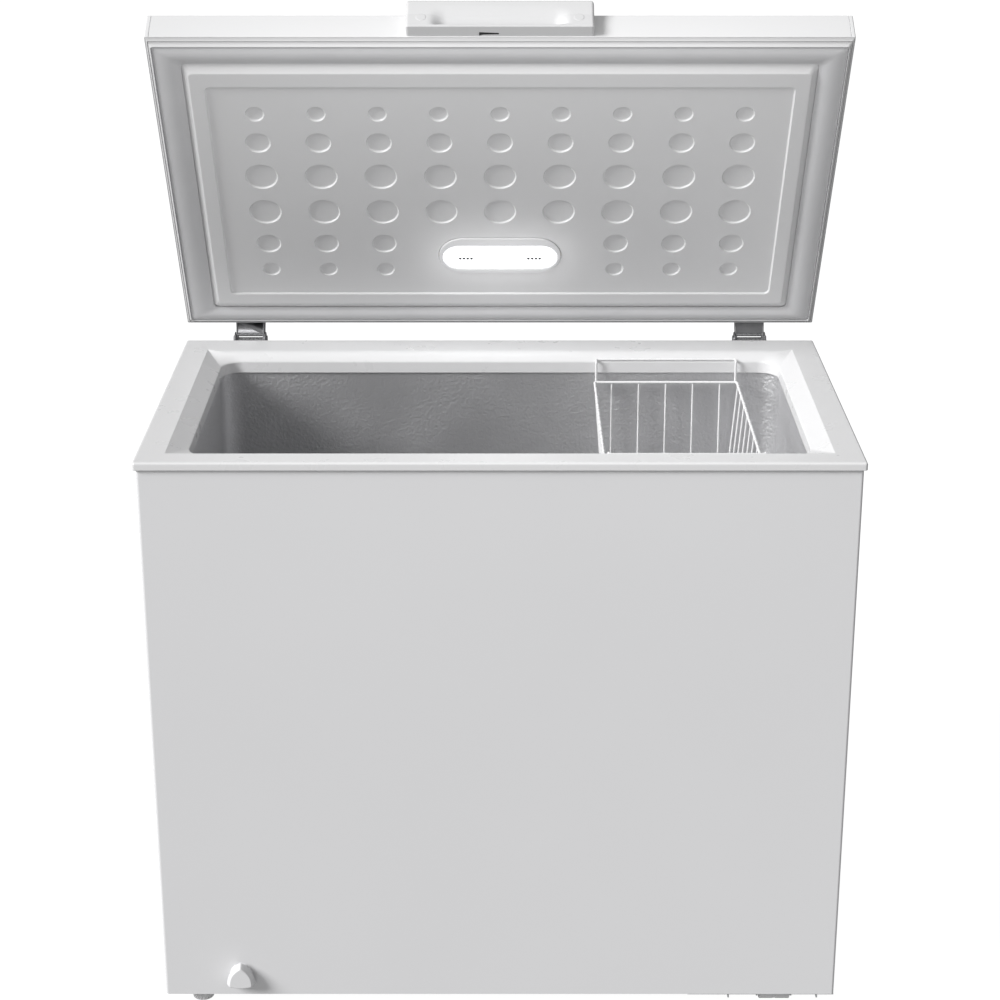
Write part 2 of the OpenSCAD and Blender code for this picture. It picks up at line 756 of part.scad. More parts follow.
module leaf_cheek_outline() {
    difference() {
        union() {
            polygon([
                [lid_y1 + leaf_t, leaf_z0], [lid_y1 + leaf_t, leaf_z1], [lid_y1 + leaf_t + 6, leaf_z1],
                [pivot_y + 9, pivot_z + 4], [pivot_y + 5, pivot_z - 8], [pivot_y - 9, pivot_z]
            ]);
            translate([pivot_y, pivot_z]) circle(10);
        }
        translate([pivot_y, pivot_z]) circle(pin_r + pin_clear);
    }
}

module lid_hinge_leaves() color(zinc) placed() lid_pose() at_hinges() {
    difference() {
        block(-leaf_half, leaf_half, lid_y1, lid_y1 + leaf_t, leaf_z0, leaf_z1);
        leaf_screw_spots() rotate([90, 0, 0]) translate([0, 0, -2]) cylinder(r = screw_r, h = 18);
    }
    yz(1 - leaf_half, leaf_half - 1) polygon([
        [lid_y1 + 1, leaf_z0 + 2.8], [lid_y1 + 1, leaf_z0 + 6.3],
        [pivot_y - 7.75, pivot_z + 3.1], [pivot_y - 9.4, pivot_z + 1.9]
    ]);
    rod([1 - leaf_half, pivot_y - 8.9, pivot_z + 2], [leaf_half - 1, pivot_y - 8.9, pivot_z + 2], 2.2);
    yz(-leaf_half, -leaf_half + leaf_t) leaf_cheek_outline();
    yz(leaf_half - leaf_t, leaf_half) leaf_cheek_outline();
}

module leaf_screws() color(zinc) placed() lid_pose() at_hinges() leaf_screw_spots() rotate([90, 0, 0]) screw(16);

// ---------- lid ----------

lid_x = rim_w / 2;
frame_t = 3;
frame_side = 8;
frame_front = 16;
gasket_x = lid_x - frame_side;
gasket_y0 = lid_y0 + frame_front;
gasket_y1 = lid_y1 - frame_side - 2;
plateau_x = 420;
plateau_y0 = -217;
plateau_y1 = 227;
plateau_slope = 9;
plateau_drop = lid_gap - 0.5;
panel_x = 401;
panel_y0 = -194;
panel_y1 = 207;
panel_up = 2.5;
liner_t = 1.5;
gasket_in_x = plateau_x + plateau_slope;
gasket_in_y0 = plateau_y0 - plateau_slope - 5;
gasket_in_y1 = plateau_y1 + plateau_slope + 4;

module lid_skin() color(white_plastic) placed() lid_pose() difference() {
    rblock(-lid_x, lid_x, lid_y0, lid_y1, lid_z, lid_top, 3);
    rblock(-lid_x + sheet, lid_x - sheet, lid_y0 + sheet, lid_y1 - sheet, lid_z - 1, lid_top - sheet, 2);
    at_hinges() leaf_screw_spots() rotate([90, 0, 0]) translate([0, 0, -2]) cylinder(r = screw_r, h = 18);
}

module lid_frame() color(lid_grey) placed() lid_pose() difference() {
    rblock(-lid_x + sheet, lid_x - sheet, lid_y0 + sheet, lid_y1 - sheet, lid_z, lid_z + frame_t, 2);
    rblock(-gasket_x, gasket_x, gasket_y0, gasket_y1, lid_z - 1, lid_top, 4);
}

module lid_gasket() color(lid_grey) placed() lid_pose() difference() {
    rblock(-gasket_x, gasket_x, gasket_y0, gasket_y1, rim_z + 0.4, lid_z + frame_t, 4);
    rblock(-gasket_in_x, gasket_in_x, gasket_in_y0, gasket_in_y1, rim_z, lid_top, 4);
}

// plateau of the liner, grown inwards by g
module plateau(g) {
    hull() {
        rblock(-gasket_in_x + g, gasket_in_x - g, gasket_in_y0 + g, gasket_in_y1 - g,
            lid_z + frame_t - 0.02, lid_z + frame_t, 6);
        rblock(-plateau_x + g, plateau_x - g, plateau_y0 + g, plateau_y1 - g,
            lid_z - plateau_drop + g, lid_z - plateau_drop + g + 0.02, 6);
    }
}

lamp_y = 128.5;
lamp_w = 179;
lamp_h = 72;
dimple_pitch = 84.1;
dimple_deep = 1.6;
// distance from the panel's middle and diameter of each row of dimples
dimple_rows = [[-150, 26], [-97.5, 35.5], [-34, 46]];

module dimple_spots() {
    for (row = dimple_rows, s = [-1, 1], i = [-4 : 4])
        if (s * row[0] < 60 || abs(i) > 1)
            translate([i * dimple_pitch, mid(panel_y0, panel_y1) + s * row[0], 0]) cylinder(r = row[1] / 2, h = 10);
}

panel_z = lid_z - plateau_drop + panel_up;
module lid_liner() color(lid_grey) placed() lid_pose() difference() {
    union() {
        difference() {
            plateau(0);
            plateau(liner_t);
        }
        block(-panel_x - liner_t, panel_x + liner_t, panel_y0 - liner_t, panel_y1 + liner_t,
            lid_z - plateau_drop, panel_z + 2 * liner_t);
    }
    rblock(-panel_x, panel_x, panel_y0, panel_y1, lid_z - 20, panel_z, 6);
    translate([0, 0, panel_z + dimple_deep - 10]) dimple_spots();
    lamp_cut(0);
}

// hole for the lamp, grown by g
module lamp_cut(g) {
    translate([0, lamp_y, lid_z - 20]) linear_extrude(40) stadium(lamp_w + 2 * g, lamp_h + 2 * g);
}

module lid_insulation() color(foam_yellow) placed() lid_pose() difference() {
    union() {
        rblock(-lid_x + sheet, lid_x - sheet, lid_y0 + sheet, lid_y1 - sheet, lid_z + frame_t, lid_top - sheet, 2);
        plateau(liner_t);
    }
    block(-panel_x - liner_t, panel_x + liner_t, panel_y0 - liner_t, panel_y1 + liner_t,
        lid_z - 20, panel_z + 2 * liner_t);
    lamp_cut(0);
    at_hinges() leaf_screw_spots() rotate([90, 0, 0]) translate([0, 0, -2]) cylinder(r = screw_r, h = 18);
}

// ---------- lamp ----------

lens_w = 167;
lens_h = 46;
lens_y = lamp_y + 2.5;
lamp_back = lid_z + 20;
lens_z = panel_z - 1;
lens_t = 2;
board_t = 1.6;
module lamp_housing() color(white_plastic) placed() lid_pose() difference() {
    translate([0, lamp_y, panel_z]) linear_extrude(lamp_back - panel_z) stadium(lamp_w, lamp_h);
    translate([0, lens_y, lens_z - 1]) linear_extrude(lamp_back - 2 - lens_z + 1) stadium(lens_w, lens_h);
}

module lamp_board() color("green") placed() lid_pose() translate([0, lamp_y, lamp_back - 2 - board_t])
    linear_extrude(board_t) square([150, 20], center = true);

module lamp_leds() color("gold") placed() lid_pose() for (s = [-1, 1], i = [0 : 3])
    translate([s * (42 + 5.5 * i), lamp_y, lamp_back - 2 - board_t - 1.5]) linear_extrude(1.5) square(3, center = true);

module lamp_lens() color("white") placed() lid_pose() translate([0, lens_y, lens_z])
    linear_extrude(lens_t) stadium(lens_w, lens_h);

// ---------- handle ----------

handle_y = lid_y0 - handle_out;
scoop_w = 165;
scoop_z0 = lid_z + 7;
scoop_z1 = lid_z + 38;
cap_x = 105;
cap_z = lid_z + 20;
cap_r = 7;
slot_x0 = -28;
slot_x1 = -1;
slot_y = handle_y + 9.5;
handle_top_y = handle_y - 4;

module handle() color(white_plastic) placed() lid_pose() difference() {
    union() {
        yz(-handle_w / 2, handle_w / 2) polygon([
            [lid_y0, lid_z + 1.2], [handle_y, lid_z + 1.2], [handle_y, lid_z + 26],
            [handle_top_y, lid_z + handle_h], [lid_y0, lid_z + handle_h]
        ]);
        block(-handle_w / 2, handle_w / 2, lid_y0, lid_y0 + 20, lid_top, lid_z + handle_h);
    }
    yz(-scoop_w / 2, scoop_w / 2) polygon([
        [handle_y - 5, scoop_z0], [handle_y + 12, scoop_z0], [handle_y + 12, scoop_z0 + 14],
        [handle_y, scoop_z1], [handle_y - 5, scoop_z1]
    ]);
    block(slot_x0, slot_x1, slot_y, slot_y + 5.5, lid_z - 1, lid_z + 5);
    for (x = [-cap_x, cap_x]) rod([x, handle_y - 1, cap_z], [x, handle_y + 2, cap_z], cap_r);
}

module handle_screw_caps() color(white_plastic) placed() lid_pose() for (x = [-cap_x, cap_x])
    rod([x, handle_y, cap_z], [x, handle_y + 2, cap_z], cap_r);

module lock_insert() color(black) placed() lid_pose() block(slot_x0, slot_x1, slot_y, slot_y + 5.5, lid_z + 2, lid_z + 5);

// ---------- basket ----------

wire_r = 1.25;
frame_r = 2;
hook_r = 1.75;
rim_bend = 4;
basket_z1 = funnel_z - 28;
basket_z0 = basket_z1 - basket_h;
basket_y0 = lip_y0 + 11;
basket_y1 = lip_y1 - 11;
side_wires = 9;
end_wires = 5;
bx0 = basket_x - basket_w / 2;
bx1 = basket_x + basket_w / 2;
end_pitch = 40;
side_pitch = (basket_y1 - basket_y0 - 30) / (side_wires - 1);
function side_y(i) = mid(basket_y0, basket_y1) + (i - (side_wires - 1) / 2) * side_pitch;
function end_x(i) = basket_x + (i - (end_wires - 1) / 2) * end_pitch;

module basket_rim() color(white_plastic) placed() {
    z = basket_z1;
    b = rim_bend;
    for (y = [basket_y0, basket_y1]) rod([bx0 + b, y, z], [bx1 - b, y, z], frame_r);
    for (x = [bx0, bx1]) rod([x, basket_y0 + b, z], [x, basket_y1 - b, z], frame_r);
    bend([bx1 - b, basket_y1 - b, z], b, frame_r, 0);
    bend([bx0 + b, basket_y1 - b, z], b, frame_r, 90);
    bend([bx0 + b, basket_y0 + b, z], b, frame_r, 180);
    bend([bx1 - b, basket_y0 + b, z], b, frame_r, 270);
}

// upright wires of one long side, leaning inwards
module side_wall(x, s) {
    for (i = [0 : side_wires - 1])
        rod([x + s * basket_taper, side_y(i), basket_z0], [x, side_y(i), basket_z1 - frame_r], wire_r);
}
module basket_left() color(white_plastic) placed() side_wall(bx0, 1);
module basket_right() color(white_plastic) placed() side_wall(bx1, -1);

module end_wall(y, s) {
    for (i = [0 : end_wires - 1])
        rod([end_x(i), y + s * basket_taper / 2, basket_z0], [end_x(i), y, basket_z1 - frame_r], wire_r);
}
module basket_front() color(white_plastic) placed() end_wall(basket_y0, 1);
module basket_back() color(white_plastic) placed() end_wall(basket_y1, -1);

module basket_floor() color(white_plastic) placed() {
    z = basket_z0 - wire_r;
    x0 = bx0 + basket_taper;
    x1 = bx1 - basket_taper;
    y0 = basket_y0 + basket_taper / 2;
    y1 = basket_y1 - basket_taper / 2;
    for (i = [0 : side_wires - 1]) rod([x0 - wire_r, side_y(i), z], [x1 + wire_r, side_y(i), z], wire_r);
    for (i = [0 : end_wires - 1]) rod([end_x(i), y0 - wire_r, z], [end_x(i), y1 + wire_r, z], wire_r);
    for (x = [x0, x1]) rod([x, y0, z], [x, y1, z], wire_r);
    for (y = [y0, y1]) rod([x0, y, z], [x1, y, z], wire_r);
}

hanger_z = funnel_z + hook_r + 0.75;
// bent wire that stands on one end of the rim and hooks over the lip
module hanger(y, s) {
    post_y = y + s * (frame_r + hook_r);
    top_y = (s > 0 ? lip_y1 : lip_y0) + s;
    x0 = bx0 + 2.5;
    x1 = bx1 - 2.5;
    pipe([
        [x0, post_y, basket_z1], [x0, post_y, hanger_z], [x0, top_y, hanger_z],
        [x1, top_y, hanger_z], [x1, post_y, hanger_z], [x1, post_y, basket_z1]
    ], hook_r);
}
module basket_hangers() color(white_plastic) placed() {
    hanger(basket_y1, 1);
    hanger(basket_y0, -1);
}

outer_shell();
back_panel();
bottom_panel();
compartment_panel();
inner_liner();
cabinet_insulation();
top_rim();
evaporator_coil();
condenser_coil();
liquid_line();
compressor();
compressor_plate();
compressor_grommets();
start_relay();
filter_drier();
suction_line();
discharge_line();
capillary_tube();
vent_grille();
thermostat_box();
thermostat_knob();
cord_gland();
foot_inserts();
front_foot();
rear_foot();
roller_brackets();
roller_axles();
front_roller();
rear_roller();
drain_tube();
drain_plug();
drain_socket();
drain_dial();
hinge_housings();
hinge_pins();
hinge_springs();
housing_screws();
lid_skin();
lid_insulation();
lid_liner();
lid_gasket();
lid_frame();
lid_hinge_leaves();
leaf_screws();
handle();
handle_screw_caps();
lock_insert();
lamp_housing();
lamp_board();
lamp_leds();
lamp_lens();
basket_rim();
basket_left();
basket_right();
basket_front();
basket_back();
basket_floor();
basket_hangers();
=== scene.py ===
import json
import math

import bmesh
import bpy
from mathutils import Matrix, Vector


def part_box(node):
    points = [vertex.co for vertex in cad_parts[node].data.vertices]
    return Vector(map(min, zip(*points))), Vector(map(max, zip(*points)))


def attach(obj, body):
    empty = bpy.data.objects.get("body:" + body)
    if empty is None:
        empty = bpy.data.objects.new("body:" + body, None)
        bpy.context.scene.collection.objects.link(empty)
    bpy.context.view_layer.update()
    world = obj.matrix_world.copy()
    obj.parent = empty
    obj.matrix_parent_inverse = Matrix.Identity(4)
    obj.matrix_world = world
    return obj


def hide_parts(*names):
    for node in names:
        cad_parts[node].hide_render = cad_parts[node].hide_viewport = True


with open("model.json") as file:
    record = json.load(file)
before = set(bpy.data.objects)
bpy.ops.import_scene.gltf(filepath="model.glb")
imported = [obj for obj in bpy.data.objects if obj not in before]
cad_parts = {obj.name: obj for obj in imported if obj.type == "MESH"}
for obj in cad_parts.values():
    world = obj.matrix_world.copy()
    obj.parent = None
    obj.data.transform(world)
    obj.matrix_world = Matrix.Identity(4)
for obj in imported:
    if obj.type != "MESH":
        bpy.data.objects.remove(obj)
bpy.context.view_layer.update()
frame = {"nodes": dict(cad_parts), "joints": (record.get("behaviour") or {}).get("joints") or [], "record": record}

# ---------- sizes: millimetres in the cabinet's own axes, y measured from the middle of the rim ----------

MM = 0.001
WELD = 0.000004  # points nearer than this are one point
rim_lo, rim_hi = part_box("top_rim")
RIM_X = rim_hi.x / MM
RIM_Y = (rim_hi.y - rim_lo.y) / 2 / MM
RIM_Z = rim_hi.z / MM
SHIFT_Y = (rim_hi.y + rim_lo.y) / 2 / MM

joints = {j["name"]: j for j in frame["joints"]}
pivot = Vector(joints["lid_hinge"]["pos_m"])
PIVOT_Y = pivot.y / MM - SHIFT_Y
PIVOT_Z = pivot.z / MM
open_angle = math.radians(-joints["lid_hinge"]["range_deg"][0])
SHUT = Matrix.Identity(4)
OPEN = Matrix.Translation(pivot) @ Matrix.Rotation(-open_angle, 4, "X") @ Matrix.Translation(-pivot)

# rim
OVERHANG = 4
SHELL_X = RIM_X - OVERHANG
SHELL_Y = RIM_Y - OVERHANG
FLANGE_H = 10.8
FLAT_X = RIM_X - 37.5
FLAT_Y0 = -RIM_Y + 37
FLAT_Y1 = RIM_Y - 50
FUNNEL_W = 25
FUNNEL_DROP = 12
LIP_H = 17
LIP_R = 30
RIM_T = 3
CORNER_R = 3.5
# tub
LINER_X = FLAT_X - FUNNEL_W + RIM_T
LINER_Y0 = FLAT_Y0 + FUNNEL_W - RIM_T
LINER_Y1 = FLAT_Y1 - FUNNEL_W + RIM_T
LINER_R = LIP_R + RIM_T
BODY_Z = 23.5
TUB_WALL = 59
TUB_Z = BODY_Z + 60
STEP_Z = BODY_Z + 250 + TUB_WALL
STEP_X = SHELL_X - 205 - TUB_WALL
# lid, in its closed place
LID_GAP = 6
LID_Z = RIM_Z + LID_GAP
LID_T = 45.5
LID_X = RIM_X
LID_Y0 = -RIM_Y + 2
LID_Y1 = LID_Y0 + 550
GASKET_X = LID_X - 8
GASKET_Y0 = LID_Y0 + 16
GASKET_Y1 = LID_Y1 - 10
PLATEAU_X = 420
PLATEAU_Y0 = -217
PLATEAU_Y1 = 227
PLATEAU_H = LID_GAP - 0.5
BASE_X = PLATEAU_X + 9
BASE_Y0 = PLATEAU_Y0 - 14
BASE_Y1 = PLATEAU_Y1 + 13
PANEL_X = 401
PANEL_Y0 = -194
PANEL_Y1 = 207
PANEL_H = PLATEAU_H - 2.5
PANEL_Z = LID_Z - PANEL_H
HINGE_X = 378.5
HINGE_HALF = 23.5


# ---------- mesh helpers ----------

def to_row(point, pose):
    """Point in the cabinet's millimetres, taken through a pose into the shared frame's metres."""
    x, y, z = point
    return pose @ Vector((x * MM, (y + SHIFT_Y) * MM, z * MM))


def piece(name, verts, faces, body, slot, replaces=(), pose=SHUT, angle=38, bevel=0, solid=0):
    """Object from a millimetre mesh: cleaned, shaded, ridden on its body and given its slot."""
    mesh = bpy.data.meshes.new(name)
    mesh.from_pydata([to_row(v, pose) for v in verts], [], faces)
    bm = bmesh.new()
    bm.from_mesh(mesh)
    bmesh.ops.remove_doubles(bm, verts=bm.verts, dist=WELD)
    bmesh.ops.dissolve_degenerate(bm, edges=bm.edges, dist=WELD / 2)
    bmesh.ops.recalc_face_normals(bm, faces=bm.faces)
    bm.to_mesh(mesh)
    bm.free()
    obj = bpy.data.objects.new(name, mesh)
    bpy.context.scene.collection.objects.link(obj)
    if solid:
        shell = obj.modifiers.new("sheet", "SOLIDIFY")
        shell.thickness = solid * MM
        shell.offset = 1
        shell.use_even_offset = True
    if bevel:
        edge = obj.modifiers.new("edges", "BEVEL")
        edge.width = bevel * MM
        edge.segments = 3
        edge.limit_method = "ANGLE"
        edge.angle_limit = math.radians(angle)
        edge.harden_normals = False
    mesh.shade_smooth()
    mesh.set_sharp_from_angle(angle=math.radians(180 if bevel else angle))
    weigh = obj.modifiers.new("normals", "WEIGHTED_NORMAL")
    weigh.keep_sharp = True
    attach(obj, body)
    if replaces:
        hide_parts(*replaces)
    mesh.materials.append(materials[slot])
    return obj


def loop(x0, x1, y0, y1, z, r, n=10):
    """Rounded rectangle, counter-clockwise from the middle of its right side."""
    r = max(r, 0.05)
    points = []
    corners = ((x1 - r, y1 - r, 0), (x0 + r, y1 - r, 90), (x0 + r, y0 + r, 180), (x1 - r, y0 + r, 270))
    for cx, cy, start in corners:
        for i in range(n + 1):
            a = math.radians(start + 90 * i / n)
            points.append((cx + r * math.cos(a), cy + r * math.sin(a), z))
    return points


def circle(x, y, z, r, count, plane="xy"):
    """Ring of points about a centre, in the named plane."""
    ring = []
    for k in range(count):
        c, v = r * math.cos(2 * math.pi * k / count), r * math.sin(2 * math.pi * k / count)
        ring.append({"xy": (x + c, y + v, z), "xz": (x + c, y, z + v), "yz": (x, y + c, z + v)}[plane])
    return ring


def mix(a, b, t):
    return a + (b - a) * t


def smooth(a, b, x):
    t = max(0.0, min(1.0, (x - a) / (b - a)))
    return t * t * (3 - 2 * t)


def between(a, b, f):
    """Box between two boxes of (half width, front, back, corner radius)."""
    return [mix(p, q, f) for p, q in zip(a, b)]


def box_loop(box, z):
    half, y0, y1, r = box
    return loop(-half, half, y0, y1, z, r)


def loft(loops, closed=False, caps=True):
    """Skin over loops of equal length. A closed loft joins its last loop to its first."""
    verts = [p for ring in loops for p in ring]
    n = len(loops[0])
    faces = []
    for k in range(len(loops) if closed else len(loops) - 1):
        a, b = k * n, (k + 1) % len(loops) * n
        for i in range(n):
            j = (i + 1) % n
            faces.append((a + i, a + j, b + j, b + i))
    if caps and not closed:
        faces.append(tuple(range(n)))
        faces.append(tuple((len(loops) - 1) * n + i for i in reversed(range(n))))
    return verts, faces


def fillet(points, radii, steps=5, closed=False):
    """Polyline in a plane with its corners rounded. A radius of 0 keeps a corner sharp."""
    out = []
    count = len(points)
    for i, p in enumerate(points):
        r = radii[i] if i < len(radii) else 0
        if not r or (not closed and i in (0, count - 1)):
            out.append(tuple(p))
            continue
        p = Vector(p)
        a = Vector(points[i - 1]) - p
        b = Vector(points[(i + 1) % count]) - p
        la, lb = a.length, b.length
        a.normalize()
        b.normalize()
        half = math.acos(max(-1, min(1, a.dot(b)))) / 2
        if half > math.radians(89):
            out.append(tuple(p))
            continue
        t = min(r / math.tan(half), 0.49 * la, 0.49 * lb)
        r = t * math.tan(half)
        centre = p + (a + b).normalized() * (r / math.sin(half))
        u, v = p + a * t - centre, p + b * t - centre
        turn = math.atan2(u.x * v.y - u.y * v.x, u.dot(v))
        for k in range(steps + 1):
            c, s = math.cos(turn * k / steps), math.sin(turn * k / steps)
            out.append((centre.x + u.x * c - u.y * s, centre.y + u.x * s + u.y * c))
    return out


def merge_parts(parts):
    verts, faces = [], []
    for v, f in parts:
        k = len(verts)
        verts += v
        faces += [tuple(i + k for i in face) for face in f]
    return verts, faces


def tube(path, r, sides=10, closed=False):
    """Round wire along a list of points."""
    pts = [Vector(p) for p in path]
    count = len(pts)
    normal = None
    verts, faces = [], []
    for i, p in enumerate(pts):
        if closed:
            d = pts[(i + 1) % count] - pts[i - 1]
        else:
            d = pts[min(i + 1, count - 1)] - pts[max(i - 1, 0)]
        d.normalize()
        if normal is None:
            helper = Vector((0, 0, 1)) if abs(d.z) < 0.9 else Vector((1, 0, 0))
            normal = d.cross(helper).normalized()
        normal = (normal - d * normal.dot(d)).normalized()
        side = d.cross(normal)
        for k in range(sides):
            a = 2 * math.pi * k / sides
            verts.append(tuple(p + normal * (r * math.cos(a)) + side * (r * math.sin(a))))
    for i in range(count if closed else count - 1):
        a, b = i * sides, (i + 1) % count * sides
        for k in range(sides):
            j = (k + 1) % sides
            faces.append((a + k, a + j, b + j, b + k))
    if not closed:
        faces.append(tuple(range(sides)))
        faces.append(tuple((count - 1) * sides + k for k in reversed(range(sides))))
    return verts, faces


def bent(points, r, steps=6, closed=False):
    """3-D path with its corners rounded."""
    out = []
    count = len(points)
    for i, q in enumerate(points):
        p = Vector(q)
        if not closed and i in (0, count - 1):
            out.append(p)
            continue
        a = Vector(points[i - 1]) - p
        b = Vector(points[(i + 1) % count]) - p
        la, lb = a.length, b.length
        a.normalize()
        b.normalize()
        half = a.angle(b) / 2
        if half > math.radians(88):
            out.append(p)
            continue
        t = min(r / math.tan(half), 0.49 * la, 0.49 * lb)
        for k in range(steps + 1):
            s = k / steps
            out.append((p + a * t) * (1 - s) ** 2 + p * 2 * s * (1 - s) + (p + b * t) * s * s)
    return out


def prism(outline, lo, hi, place):
    """Outline in a plane, extruded from lo to hi. place(u, v, w) gives the point."""
    n = len(outline)
    verts = [place(u, v, w) for w in (lo, hi) for u, v in outline]
    faces = [tuple(range(n)), tuple(reversed(range(n, 2 * n)))]
    faces += [(i, (i + 1) % n, n + (i + 1) % n, n + i) for i in range(n)]
    return verts, faces


def block(x0, x1, y0, y1, z0, z1):
    return prism([(x0, y0), (x1, y0), (x1, y1), (x0, y1)], z0, z1, lambda u, v, w: (u, v, w))


def ring_faces(start_a, start_b, n):
    return [(start_a + i, start_a + (i + 1) % n, start_b + (i + 1) % n, start_b + i) for i in range(n)]


def zipper(a, b):
    """Triangles between two closed loops that run the same way, a outside b."""
    na, nb = len(a), len(b)
    gap = lambda p, q: (Vector(p) - Vector(q)).length
    start = min(range(nb), key=lambda j: gap(a[0], b[j]))
    verts = list(a) + list(b)
    faces = []
    i = j = 0
    while i < na or j < nb:
        pa, pb = a[i % na], b[(start + j) % nb]
        next_a, next_b = a[(i + 1) % na], b[(start + j + 1) % nb]
        if j >= nb or (i < na and gap(next_a, pb) <= gap(next_b, pa)):
            faces.append((i % na, (i + 1) % na, na + (start + j) % nb))
            i += 1
        else:
            faces.append((i % na, na + (start + j + 1) % nb, na + (start + j) % nb))
            j += 1
    return verts, faces


# ---------- materials ----------

def nodes_of(name):
    mat = bpy.data.materials.new(name)
    mat.use_nodes = True
    tree = mat.node_tree
    return mat, tree, tree.nodes["Principled BSDF"]


def texture(tree, kind, scale, detail=2.0):
    coords = tree.nodes.new("ShaderNodeTexCoord")
    node = tree.nodes.new(kind)
    node.inputs["Scale"].default_value = scale
    if "Detail" in node.inputs:
        node.inputs["Detail"].default_value = detail
    tree.links.new(coords.outputs["Object"], node.inputs["Vector"])
    return node


def ranged(tree, source, low, high):
    """The useful middle of a noise, stretched over low to high."""
    node = tree.nodes.new("ShaderNodeMapRange")
    node.inputs["From Min"].default_value = 0.3
    node.inputs["From Max"].default_value = 0.7
    node.inputs["To Min"].default_value = low
    node.inputs["To Max"].default_value = high
    tree.links.new(source, node.inputs["Value"])
    return node.outputs["Result"]


def moulded(name, colour, rough, grain=900, depth=0.00002, spread=0.05, tint=0.03, metal=0.0, cloud=6.0,
            sheen=0.0):
    """Colour that drifts a little, roughness that varies, and a fine grain in the surface."""
    mat, tree, bsdf = nodes_of(name)
    drift = texture(tree, "ShaderNodeTexNoise", cloud, 3.0)
    ramp = tree.nodes.new("ShaderNodeValToRGB")
    dark = [max(0.0, c * (1 - tint)) for c in colour]
    light = [min(1.0, c * (1 + tint)) for c in colour]
    ramp.color_ramp.elements[0].position = 0.3
    ramp.color_ramp.elements[1].position = 0.7
    ramp.color_ramp.elements[0].color = (*dark, 1)
    ramp.color_ramp.elements[1].color = (*light, 1)
    tree.links.new(drift.outputs["Fac"], ramp.inputs["Fac"])
    tree.links.new(ramp.outputs["Color"], bsdf.inputs["Base Color"])
    wear = texture(tree, "ShaderNodeTexNoise", cloud * 5, 4.0)
    worn = ranged(tree, wear.outputs["Fac"], rough - spread, rough + spread)
    tree.links.new(worn, bsdf.inputs["Roughness"])
    fine = texture(tree, "ShaderNodeTexNoise", grain, 2.0)
    bump = tree.nodes.new("ShaderNodeBump")
    bump.inputs["Strength"].default_value = 1.0
    bump.inputs["Distance"].default_value = depth
    tree.links.new(fine.outputs["Fac"], bump.inputs["Height"])
    tree.links.new(bump.outputs["Normal"], bsdf.inputs["Normal"])
    bsdf.inputs["Metallic"].default_value = metal
    bsdf.inputs["IOR"].default_value = 1.5
    bsdf.inputs["Sheen Weight"].default_value = sheen
    return mat


def stucco_aluminium(name):
    """Embossed sheet: irregular pebbles a few millimetres across, bright on their flanks."""
    mat, tree, bsdf = nodes_of(name)
    wobble = texture(tree, "ShaderNodeTexNoise", 120, 2.0)
    coords = tree.nodes.new("ShaderNodeTexCoord")
    push = tree.nodes.new("ShaderNodeVectorMath")
    push.operation = "MULTIPLY_ADD"
    push.inputs[1].default_value = (0.008, 0.008, 0.008)
    tree.links.new(wobble.outputs["Color"], push.inputs[0])
    tree.links.new(coords.outputs["Object"], push.inputs[2])
    cells = tree.nodes.new("ShaderNodeTexVoronoi")
    cells.feature = "SMOOTH_F1"
    cells.inputs["Scale"].default_value = 210
    cells.inputs["Smoothness"].default_value = 0.5
    tree.links.new(push.outputs["Vector"], cells.inputs["Vector"])
    patches = texture(tree, "ShaderNodeTexNoise", 9, 3.0)
    amount = ranged(tree, patches.outputs["Fac"], 0.35, 1.0)
    height = tree.nodes.new("ShaderNodeMath")
    height.operation = "MULTIPLY"
    tree.links.new(cells.outputs["Distance"], height.inputs[0])
    tree.links.new(amount, height.inputs[1])
    bump = tree.nodes.new("ShaderNodeBump")
    bump.inputs["Strength"].default_value = 0.55
    bump.inputs["Distance"].default_value = 0.0012
    tree.links.new(height.outputs["Value"], bump.inputs["Height"])
    tree.links.new(bump.outputs["Normal"], bsdf.inputs["Normal"])
    tone = texture(tree, "ShaderNodeTexNoise", 3.5, 2.0)
    ramp = tree.nodes.new("ShaderNodeValToRGB")
    ramp.color_ramp.elements[0].position = 0.3
    ramp.color_ramp.elements[1].position = 0.7
    ramp.color_ramp.elements[0].color = (0.70, 0.70, 0.71, 1)
    ramp.color_ramp.elements[1].color = (0.78, 0.78, 0.79, 1)
    tree.links.new(tone.outputs["Fac"], ramp.inputs["Fac"])
    tree.links.new(ramp.outputs["Color"], bsdf.inputs["Base Color"])
    tree.links.new(ranged(tree, patches.outputs["Fac"], 0.47, 0.56), bsdf.inputs["Roughness"])
    bsdf.inputs["Metallic"].default_value = 0.9
    return mat


def glowing_lens(name):
    mat, tree, bsdf = nodes_of(name)
    bsdf.inputs["Base Color"].default_value = (0.93, 0.94, 0.96, 1)
    bsdf.inputs["Roughness"].default_value = 0.25
    ribs = texture(tree, "ShaderNodeTexNoise", 60, 1.0)
    tree.links.new(ranged(tree, ribs.outputs["Fac"], 0.80, 0.92), bsdf.inputs["Emission Strength"])
    bsdf.inputs["Emission Color"].default_value = (0.97, 0.985, 1.0, 1)
    fine = texture(tree, "ShaderNodeTexNoise", 700, 1.0)
    bump = tree.nodes.new("ShaderNodeBump")
    bump.inputs["Distance"].default_value = 0.00002
    tree.links.new(fine.outputs["Fac"], bump.inputs["Height"])
    tree.links.new(bump.outputs["Normal"], bsdf.inputs["Normal"])
    return mat


